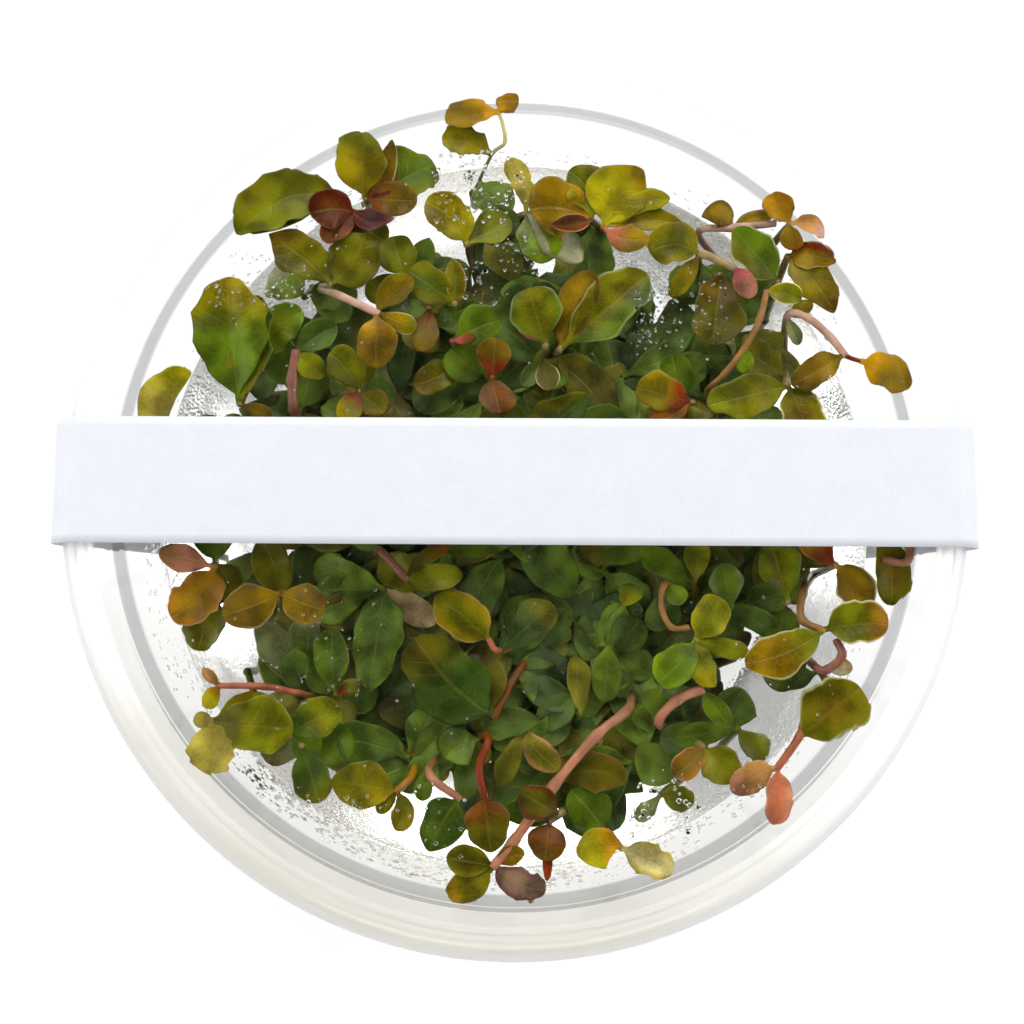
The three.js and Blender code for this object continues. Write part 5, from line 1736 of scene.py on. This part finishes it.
class Blade:
    """One leaf as a thin closed blade, which lies along a midrib from its stalk to its tip."""

    # Painted haze of scattered light on the deeper leaves, from the top height down to the foot height
    painted_haze: float = 0.03
    painted_haze_foot: float = 28.0
    painted_haze_top: float = 37.0
    under_gap: float = 0.12

    def __init__(self, leaf: Leaf, start: Vector, tip: Vector, grid: Grid, dice: random.Random) -> None:
        """Draw the leaf's habit and find the ways along it, to its left and above it.

        Args:
            leaf: its width, bow and tones.
            start: the foot of its stalk.
            tip: its pointed end.
            grid: how it is meshed.
            dice: gives its small irregularities.
        """
        self.leaf = leaf
        self.start = start
        self.grid = grid
        self.habit = Habit.draw(leaf, grid.petiole, dice)
        self.columns = np.array(grid.columns)
        self.base = np.array(leaf.tone.colour)
        self.other = np.array((leaf.second or leaf.tone).colour)
        self.way = tip - start
        self.length = self.way.length
        along = self.way.normalized()
        left = Vector((-along.y, along.x, 0))
        if left.length < 1e-3:
            left = Vector((1, 0, 0))
        left.normalize()
        above = along.cross(left)
        if above.z < 0:
            above = -above
            left = -left
        self.along, self.left, self.above = np.array(along), np.array(left), np.array(above)

    def outline(self) -> tuple[np.ndarray, np.ndarray, np.ndarray]:
        """Find the blade's stations.

        Returns:
            Each station's share of the whole length, its share of the length beyond the stalk, and
            half its breadth.
        """
        rise, fall, petiole = self.habit.rise_power, self.habit.fall_power, self.habit.petiole
        share = (1 - np.cos(np.linspace(0.12, 1, self.grid.stations) * np.pi)) / 2
        share = (share - share[0]) / (1 - share[0])
        part = np.clip((share - petiole) / (1 - petiole), 0, 1)
        peak = rise / (rise + fall)
        most = peak ** rise * (1 - peak) ** fall
        half = (self.leaf.width / 2) * part ** rise * (1 - part) ** fall / most
        stalk = 0.26 + 0.07 * self.leaf.width / 4
        half = np.where(share < petiole, stalk, np.maximum(half, stalk * (1 - part) ** 2))
        half[-1] = 0.0
        return share, part, half

    def edge(self, s: float) -> np.ndarray:
        """How far each column of one station reaches out, as a share of half the breadth."""
        leaf, habit = self.leaf, self.habit
        tilt = habit.cup * 1.2 + habit.fold
        flat = 1 / math.sqrt(1 + tilt ** 2) if leaf.fold or leaf.curl else 1.0
        notch = []
        for side in (-5, 5):
            fine = noise.noise(Vector((s * self.length * 1.3, side, habit.phase)))
            broad = noise.noise(Vector((s * self.length * 0.42, side, habit.phase + 4)))
            notch.append(3 * leaf.ragged * fine + 0.36 * broad)
        skewed = np.where(self.columns > 0, 1 + leaf.skew, 1 - leaf.skew)
        return skewed * (1 + np.where(self.columns > 0, notch[1], notch[0])) * flat

    def row(self, s: float, reach: float) -> tuple[np.ndarray, np.ndarray]:
        """Find the blade's points across one station.

        Args:
            s: the station's share of the length.
            reach: half its breadth.

        Returns:
            The points of the upper side and those of the underside.
        """
        leaf, habit, columns = self.leaf, self.habit, self.columns
        middle = np.array(self.start + self.way * float(s))
        middle = middle + self.left * leaf.bow * self.length * 4 * s * (1 - s)
        middle = middle + self.above * habit.arch * self.length * 4 * s * (1 - s)
        lean = self.left - self.along * leaf.bow * 4 * (1 - 2 * s)
        lean = lean / np.linalg.norm(lean)
        wave = math.sin(habit.turns * 6.28 * s + habit.phase)
        rise = reach * (habit.cup * columns ** 2 + habit.fold * np.abs(columns) + habit.twist * columns * s)
        rise = rise + habit.ripple * leaf.width * columns ** 2 * wave * min(1, reach)
        spots = middle + np.outer(columns * reach * self.edge(s), lean) + np.outer(rise, self.above)
        thick = self.grid.thickness / 2 * np.sqrt(np.clip(1 - (columns * 0.97) ** 2, 0, 1))
        thick = thick * (1.6 if s < self.grid.petiole else 1) + 0.03
        thick[0] = thick[-1] = 0
        return spots + np.outer(thick, self.above), spots - np.outer(thick, self.above)

    def second_share(self, part: np.ndarray) -> np.ndarray:
        """Find how much of its second tone the leaf shows.

        Args:
            part: each station's share of the length beyond the stalk.

        Returns:
            A share for every station and column.
        """
        along = np.repeat(part[:, None], len(self.columns), 1)
        across = np.repeat(self.columns[None, :], len(part), 0)
        shares = {
            Spread.MARGIN: smooth_step(0.45, 1.0, np.abs(across)),
            Spread.TIP: smooth_step(0.45, 0.95, along),
            Spread.FOOT: 1 - smooth_step(0.15, 0.55, along),
            Spread.LEFT: smooth_step(0.0, 0.75, across),
            Spread.RIGHT: smooth_step(0.0, 0.75, -across),
            Spread.HEART: np.exp(-(across ** 2) / 0.3 - (along - 0.55) ** 2 / 0.07),
        }
        return shares[self.leaf.spread]

    def colour(self, spot: np.ndarray, across: float, second: float) -> np.ndarray:
        """Find the colour of one point.

        Args:
            spot: the point.
            across: its column, from -1 at the right margin to 1 at the left.
            second: how much of the second tone the leaf shows there.

        Returns:
            The colour, which is paler and hazier the deeper the point lies, as painted haze of scattered
            light.
        """
        patch = noise.noise(Vector(spot) * 0.35 + Vector((self.length, 0, 0)))
        weight = min(1.0, max(0.0, second * 1.05 + patch * 0.35 * second ** 0.5))
        # Painted shade: one half of the leaf lighter and the other darker, besides random patches of tone.
        shade = 1 + 0.2 * patch + self.habit.bias * max(-1.0, min(1.0, across * 4))
        # Painted haze: deeper points are made paler and greyer, as if lit by scattered light.
        deep = 1 - float(smooth_step(self.painted_haze_foot, self.painted_haze_top, spot[2]))
        mixed = self.base * (1 - weight) + self.other * weight
        return mixed * shade * (1 + deep) + self.painted_haze * deep

    @staticmethod
    def faces(upper: list[list[int]], lower: list[list[int]], end: int) -> list[tuple[int, ...]]:
        """Close the blade.

        Args:
            upper: the numbers of the upper side's points, a list for each station.
            lower: those of the underside, which shares the points on the margins.
            end: the number of the tip's point.

        Returns:
            The faces.
        """
        faces = []
        columns = range(len(upper[0]) - 1)
        for a, b, c, d in zip(upper, upper[1:], lower, lower[1:]):
            for column in columns:
                faces.append((b[column], b[column + 1], a[column + 1], a[column]))
                faces.append((c[column + 1], d[column + 1], d[column], c[column]))
        for column in columns:
            faces.append((end, upper[-1][column + 1], upper[-1][column]))
            faces.append((end, lower[-1][column], lower[-1][column + 1]))
            foot = (upper[0][column + 1], lower[0][column + 1], lower[0][column], upper[0][column])
            faces.append(tuple(dict.fromkeys(foot)))
        return faces

    def add_to(self, skin: Skin) -> None:
        """Add the blade to a mesh."""
        share, part, half = self.outline()
        seconds = self.second_share(part)
        rows = [self.row(s, reach) for s, reach in zip(share, half)]
        count = len(self.columns)
        vertices, tones, marks, upper, lower = [], [], [], [], []
        for index, (top, under) in enumerate(rows[:-1]):
            # Strength of the painted highlight along the margin
            rim = self.leaf.rim * min(1, half[index])
            row_marks = [(across, float(part[index]), rim) for across in self.columns]
            row_tones = [self.colour(*given) for given in zip(top, self.columns, seconds[index])]
            first = len(vertices)
            vertices.extend((x, y, min(z, VESSEL.ceiling)) for x, y, z in top)
            vertices.extend((x, y, min(z, VESSEL.ceiling - self.under_gap)) for x, y, z in under[1:-1])
            tones.extend(row_tones)
            tones.extend(tone * 0.9 for tone in row_tones[1:-1])
            marks.extend(row_marks)
            marks.extend(row_marks[1:-1])
            inner = range(first + count, len(vertices))
            upper.append(list(range(first, first + count)))
            lower.append([first, *inner, first + count - 1])
        x, y, z = rows[-1][0][count // 2]
        end = len(vertices)
        vertices.append((x, y, min(z, VESSEL.ceiling)))
        tones.append(tones[upper[-1][count // 2]])
        marks.append((0.0, 1.0, 0.0))
        skin.add(vertices, self.faces(upper, lower, end), 0, tones, marks)


@dataclass
class Plants:
    """All clumps: stems as smooth tubes, leaves as thin curved blades, and lower leaves."""

    root_depth: float = 20.0
    collar_height: float = 27.0
    stem_radius: float = 0.5
    lower_reach: float = 36.0
    grid: Grid = Grid()
    materials: list[bpy.types.Material] = field(default_factory=list)

    def lower_leaves(self, skin: Skin, route: Sequence[Vector], dice: random.Random) -> None:
        """Add the small leaf pairs lower on a stem, which the upper ones mostly hide.

        Args:
            skin: takes the leaves.
            route: the stem's points.
            dice: draws the leaves.
        """
        for share in (0.35, 0.7):
            node = route[0].lerp(route[1], share)
            turned = dice.uniform(0, math.pi)
            for side in (0, math.pi):
                angle = turned + side + dice.uniform(-0.3, 0.3)
                length = dice.uniform(4.4, 7.4)
                way = Vector((math.cos(angle), math.sin(angle), dice.uniform(0.1, 0.5)))
                tip = node + way.normalized() * length
                limit = min(VESSEL.inner_wall(tip.z) - 1.5, self.lower_reach)
                outside = math.hypot(tip.x, tip.y) > limit or tip.z > VESSEL.ceiling - 3
                if outside or in_clear_spot(*SIGHT.seen(tip)):
                    continue
                tone = dice.choice((Tone.DEEP, Tone.GREEN, Tone.GREEN, Tone.OLIVE))
                form = dice.choice((Form.OVATE, Form.OVAL, Form.ROUND, Form.OBOVATE))
                leaf = Leaf(1, (0, 0, 0), dice.uniform(3.2, 5.2), dice.uniform(-0.1, 0.1), tone,
                            rim=0.0, form=form)
                Blade(leaf, node, tip, self.grid, dice).add_to(skin)

    def build(self, shop: Workshop) -> None:
        """Mesh every clump and dress it.

        Args:
            shop: the shared node groups.
        """
        self.materials = [LeafFinish().build(shop), StemFinish().build(shop)]
        for number, clump in enumerate(CLUMPS, 1):
            dice = random.Random(number)
            skin = Skin()
            root = SIGHT.place((*clump.root, self.root_depth))
            collar = Vector((root.x, root.y, self.collar_height))
            foot = [root, collar, collar + Vector((0, 0, 0.4))]
            Stem(foot, Tone.GREEN, self.stem_radius, number).add_to(skin)
            for shoot in clump.shoots:
                route = [collar, *(SIGHT.place(point) for point in shoot.points)]
                Stem(route, shoot.tone, self.stem_radius * shoot.girth, number).add_to(skin)
                self.lower_leaves(skin, route, dice)
                for leaf in shoot.leaves:
                    tip = SIGHT.place(leaf.tip)
                    Blade(leaf, route[leaf.start], tip, self.grid, dice).add_to(skin)
            skin.build(f"plant_{number:02d}", self.materials, "plant", [f"clump_{number:02d}"])


@dataclass
class Undergrowth:
    """Short hidden shoots between the clumps, rooted in the gel, which fill the mass below."""

    seed: int = 23
    spacing: float = 4.9
    reach: float = 29.0
    root_height: float = 22.0
    centre: tuple[float, float] = (-0.5, -1.5)
    grid: Grid = Grid(11, (-1, -0.85, -0.45, 0, 0.45, 0.85, 1), 0.2)

    def build(self, materials: Sequence[bpy.types.Material]) -> None:
        """Mesh the shoots and dress them.

        Args:
            materials: the leaf finish and the stem finish.
        """
        dice = random.Random(self.seed)
        skin = Skin()
        rows = int(self.reach / self.spacing) + 1
        for row in range(-rows, rows + 1):
            for column in range(-rows, rows + 1):
                shift = (column + 0.5 * (row % 2)) * self.spacing
                x = self.centre[0] + shift + dice.uniform(-1.4, 1.4)
                y = self.centre[1] + row * self.spacing * 0.87 + dice.uniform(-1.4, 1.4)
                far = math.hypot(x - self.centre[0], y - self.centre[1])
                if far > self.reach + dice.uniform(-2.5, 0.5) or in_clear_spot(x, y):
                    continue
                self.sprig(skin, Vector((x, y, self.root_height)), dice, far / self.reach)
        skin.build("undergrowth", materials, "plant", [])

    def sprig(self, skin: Skin, root: Vector, dice: random.Random, outward: float) -> None:
        """Add one short shoot with pairs of leaves, each pair turned across the last.

        Args:
            skin: takes the shoot.
            root: its foot.
            dice: draws its form and tones.
            outward: 0 at the centre and 1 at the edge, where shoots are lower.
        """
        height = dice.uniform(6.5, 11.5) - 3.0 * outward
        lean = Vector((dice.uniform(-2.2, 2.2), dice.uniform(-2.2, 2.2), height))
        middle = root + lean * 0.5 + Vector((dice.uniform(-0.6, 0.6), dice.uniform(-0.6, 0.6), 0))
        head = root + lean
        tone = dice.choice((Tone.GREEN, Tone.BROWN, Tone.BEIGE))
        Stem([root, middle, head], tone, 0.42, dice.randrange(99)).add_to(skin)
        turned = dice.uniform(0, math.pi)
        for share in (0.55, 0.8, 1.0):
            node = middle.lerp(head, share * 2 - 1)
            for side in (0, math.pi):
                angle = turned + side + dice.uniform(-0.35, 0.35)
                length = (12.6 - 3.2 * share) * dice.uniform(0.75, 1.15)
                rise = dice.uniform(-0.1, 0.45)
                way = Vector((math.cos(angle) * length, math.sin(angle) * length, rise * length))
                leaf = self.leaf(length, dice)
                Blade(leaf, node, node + way, self.grid, dice).add_to(skin)
            turned += math.pi / 2

    @staticmethod
    def leaf(length: float, dice: random.Random) -> Leaf:
        """Draw the tones, outline and breadth of one leaf of this length."""
        tone = dice.choice((Tone.GREEN, Tone.DEEP, Tone.SHADE, Tone.DUSK, Tone.DEEP))
        second = dice.choice((Tone.GREEN, Tone.OLIVE, Tone.SHADE, Tone.DUSK))
        form = dice.choice((Form.OVATE, Form.OVAL, Form.POINTED, Form.ROUND, Form.OBOVATE))
        width = length * dice.uniform(0.45, 0.72)
        bow = dice.uniform(-0.1, 0.1)
        spread = dice.choice((Spread.TIP, Spread.LEFT, Spread.FOOT))
        return Leaf(1, (0, 0, 0), width, bow, tone, second, spread, 0.0, form)


@dataclass(frozen=True)
class Patch:
    """A patch of water droplets under the lid, as (x, y) limits on the rim's plane."""

    low: tuple[float, float]
    high: tuple[float, float]
    count: int
    largest: float


@dataclass(frozen=True)
class WallPatch:
    """A patch of wet beads on the cup's inner wall, with its limits of bearing and height."""

    bearings: tuple[float, float]
    heights: tuple[float, float]
    count: int
    largest: float


WALL_PATCHES = (
    WallPatch((195, 300), (26.2, 32.0), 460, 0.3),
    WallPatch((225, 280), (26.0, 31.0), 420, 0.42),
    WallPatch((300, 340), (26.0, 30.0), 90, 0.3),
    WallPatch((150, 195), (26.0, 31.0), 120, 0.3),
    WallPatch((70, 130), (25.8, 29.5), 160, 0.35),
    WallPatch((20, 65), (26.0, 31.0), 60, 0.3),
)

DROPLET_PATCHES = (
    Patch((13.0, 15.5), (18.5, 22.5), 130, 0.22),
    Patch((19.5, 17.0), (23.5, 23.5), 50, 0.18),
    Patch((12.0, -37.0), (18.5, -31.0), 60, 0.32),
    Patch((19.0, -36.5), (27.0, -31.5), 50, 0.32),
    Patch((-25.0, -41.0), (-5.0, -31.0), 90, 0.28),
    Patch((-5.5, 20.5), (-2.0, 25.5), 30, 0.34),
    Patch((-39.5, 19.0), (-36.0, 22.5), 22, 0.4),
    Patch((-38.0, 22.0), (-27.0, 26.5), 70, 0.26),
    Patch((-34.0, 20.5), (-27.0, 24.0), 40, 0.2),
    Patch((-27.0, 20.0), (-22.5, 25.0), 60, 0.2),
    Patch((-9.5, 30.0), (1.5, 38.5), 170, 0.26),
    Patch((-2.0, 24.0), (2.5, 28.5), 45, 0.26),
    Patch((-26.0, -24.0), (-15.0, -8.0), 60, 0.18),
    Patch((-36.0, -32.0), (36.0, 36.0), 300, 0.17),
)


def dome_faces(rings: int, sides: int) -> list[tuple[int, ...]]:
    """Close a dome.

    Args:
        rings: how many rings of points it has between its first and its last point.
        sides: points in each ring.

    Returns:
        Its faces.
    """
    faces = []
    end = 1 + rings * sides
    for side in range(sides):
        after = (side + 1) % sides
        faces.append((0, 1 + side, 1 + after))
        for here in range(1, end - sides, sides):
            there = here + sides
            faces.append((here + side, there + side, there + after, here + after))
        faces.append((end - sides + side, end, end - sides + after))
    return faces


@dataclass
class Droplets:
    """Water droplets that hang under the lid's panel and cling to the cup's wall."""

    seed: int = 7
    sides: int = 10
    hanging_rings: int = 4
    wall_rings: int = 3
    hanging_gap: float = 0.02
    sunk: float = 0.05

    def build(self, shop: Workshop) -> None:
        """Mesh the droplets and dress them.

        Args:
            shop: the shared node groups.
        """
        dice = random.Random(self.seed)
        skin = Skin()
        depth = VESSEL.rim_height - (VESSEL.panel_height - VESSEL.lid_wall)
        for patch in DROPLET_PATCHES:
            for _ in range(patch.count):
                x = dice.uniform(patch.low[0], patch.high[0])
                y = dice.uniform(patch.low[1], patch.high[1])
                middle = SIGHT.place((x, y, depth))
                if math.hypot(middle.x, middle.y) > VESSEL.panel_radius - 1:
                    continue
                radius = patch.largest * dice.uniform(0.25, 1.0) ** 1.6
                self.hang(skin, middle, radius, radius * dice.uniform(0.35, 0.6))
        for patch in WALL_PATCHES:
            low, high = patch.heights
            for _ in range(patch.count):
                bearing = math.radians(dice.uniform(*patch.bearings))
                height = low + (high - low) * dice.random() ** 1.8
                self.cling(skin, bearing, height, patch.largest * dice.uniform(0.3, 1.0), dice)
        # Painted shade: the water goes from its back colour to a greyer front colour.
        water = WetGel("water", (0.98, 0.99, 0.985), (0.9, 0.9, 0.88), 0.0, 0.0, ior=1.33)
        skin.build("droplets", [water.build(shop)], "gel", [])

    def hang(self, skin: Skin, middle: Vector, radius: float, drop: float) -> None:
        """Add one bead that hangs from the panel's underside.

        Args:
            skin: takes the bead.
            middle: where it hangs.
            radius: half its breadth.
            drop: how far down it reaches.
        """
        top = middle.z - self.hanging_gap
        spots = [(middle.x, middle.y, top)]
        for ring in range(self.hanging_rings):
            bend = math.pi / 2 * ring / self.hanging_rings
            reach = radius * math.cos(bend)
            for side in range(self.sides):
                angle = 2 * math.pi * side / self.sides
                x, y = middle.x + reach * math.cos(angle), middle.y + reach * math.sin(angle)
                spots.append((x, y, top - drop * math.sin(bend)))
        spots.append((middle.x, middle.y, top - drop))
        skin.add(spots, dome_faces(self.hanging_rings, self.sides))

    def cling(self, skin: Skin, bearing: float, height: float, radius: float, dice: random.Random) -> None:
        """Add one flattened bead that clings to the cup's inner wall.

        Args:
            skin: takes the bead.
            bearing: where round the wall it is, in radians.
            height: its height.
            radius: half its breadth.
            dice: gives its uneven form.
        """
        out = Vector((math.cos(bearing), math.sin(bearing), 0))
        slope = (VESSEL.inner_wall(height + 1) - VESSEL.inner_wall(height - 1)) / 2
        up = (Vector((0, 0, 1)) + out * slope).normalized()
        side = up.cross(out).normalized()
        inward = side.cross(up).normalized()
        if inward.dot(out) > 0:
            inward = -inward
        middle = out * (VESSEL.inner_wall(height) - self.sunk)
        middle.z = height
        stretch = dice.uniform(0.7, 1.5)
        bulge = radius * dice.uniform(0.35, 0.6)
        spots = [middle + inward * bulge]
        for ring in range(1, self.wall_rings + 1):
            bend = math.pi / 2 * ring / self.wall_rings
            for corner in range(self.sides):
                angle = 2 * math.pi * corner / self.sides
                cos, sin = math.cos(angle), math.sin(angle)
                uneven = 1 + 0.25 * noise.noise(Vector((cos, sin, height * 9)))
                reach = radius * math.sin(bend) * uneven
                spots.append(middle + side * (cos * reach * stretch) + up * (sin * reach)
                             + inward * (bulge * math.cos(bend)))
        spots.append(middle)
        skin.add([tuple(spot) for spot in spots], dome_faces(self.wall_rings, self.sides))


@dataclass
class Studio:
    """Camera, soft lights, world and floor."""

    lens: float = 40.43
    camera_place: Point = (-0.33, -16.14, 165.85)
    aim: Point = (-0.33, -2.47, 42.0)
    zenith: float = 0.03
    horizon: float = 0.75
    floor_half: float = 1500.0
    floor_height: float = -0.1
    floor_colour: float = 0.3
    floor_glow: float = 0.72

    def camera(self) -> None:
        """Set the camera at the photograph's angle."""
        data = bpy.data.cameras.new("view")
        data.lens = self.lens
        data.sensor_width = 36.0
        data.clip_start = 0.01
        camera = bpy.data.objects.new("view", data)
        bpy.context.scene.collection.objects.link(camera)
        place, aim = Vector(self.camera_place) * MM, Vector(self.aim) * MM
        camera.location = place
        camera.rotation_euler = (aim - place).to_track_quat("-Z", "Y").to_euler()
        bpy.context.scene.camera = camera

    def world(self) -> None:
        """Set a soft surround, bright at the sides and dark overhead and far below."""
        world = bpy.data.worlds.new("surround")
        world.use_nodes = True
        bpy.context.scene.world = world
        nodes = Nodes(world.node_tree)
        way = nodes.add("TexCoord").outputs["Generated"]
        height = nodes.add("SeparateXYZ", {0: way}).outputs["Z"]
        overhead = nodes.ramp(height, 0.3, 0.75)
        level = nodes.math("MULTIPLY_ADD", overhead, self.zenith - self.horizon, self.horizon)
        level = nodes.math("MULTIPLY", level, nodes.ramp(height, -0.5, -0.3))
        backdrop = world.node_tree.nodes["Background"]
        nodes.dress(backdrop, {"Color": (1.0, 1.0, 1.0, 1), "Strength": level})

    def light(self, name: str, place: Point, side: float, power: float) -> None:
        """Add one square soft light aimed at the cup.

        Args:
            name: its name.
            place: where it stands.
            side: how wide and high it is.
            power: its output in watts.
        """
        data = bpy.data.lights.new(name, "AREA")
        data.size = side * MM
        data.energy = power
        lamp = bpy.data.objects.new(name, data)
        bpy.context.scene.collection.objects.link(lamp)
        lamp.location = Vector(place) * MM
        lamp.rotation_euler = (-Vector(place)).to_track_quat("-Z", "Y").to_euler()

    def floor(self) -> None:
        """Lay a plain pale floor, just below the cup."""
        half = self.floor_half
        corners = ((-half, -half), (half, -half), (half, half), (-half, half))
        mesh = bpy.data.meshes.new("floor")
        mesh.from_pydata([(x * MM, y * MM, self.floor_height * MM) for x, y in corners], [], [(0, 1, 2, 3)])
        material, nodes, surface = new_material("floor")
        nodes.dress(surface, {
            "Base Color": (*[self.floor_colour] * 3, 1),
            "Roughness": 0.9,
            "Emission Color": (1.0, 1.0, 1.0, 1),
            "Emission Strength": self.floor_glow,
        })
        material.cycles.emission_sampling = "NONE"
        mesh.materials.append(material)
        floor = bpy.data.objects.new("floor", mesh)
        bpy.context.scene.collection.objects.link(floor)

    def build(self) -> None:
        """Set up the whole studio."""
        bpy.context.scene.view_settings.view_transform = "Standard"
        self.camera()
        self.world()
        self.floor()
        self.light("back_softbox", (0.0, 400.0, 330.0), 400.0, 2.5)
        self.light("left_softbox", (-430.0, -60.0, 300.0), 380.0, 1.5)
        self.light("front_softbox", (60.0, -430.0, 280.0), 320.0, 0.5)
        self.light("right_softbox", (430.0, 40.0, 300.0), 380.0, 1.5)


def main() -> None:
    """Build each piece in order."""
    logging.basicConfig(level=logging.INFO, format="%(message)s")
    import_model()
    Studio().build()
    shop = Workshop.open()
    CupShell().build(shop)
    GelBed().build(shop)
    plants = Plants()
    plants.build(shop)
    Undergrowth().build(plants.materials)
    Droplets().build(shop)
    LidShell().build(shop)
    PaperStrip().build(shop)
    bpy.context.view_layer.update()


if __name__ == "__main__":
    main()
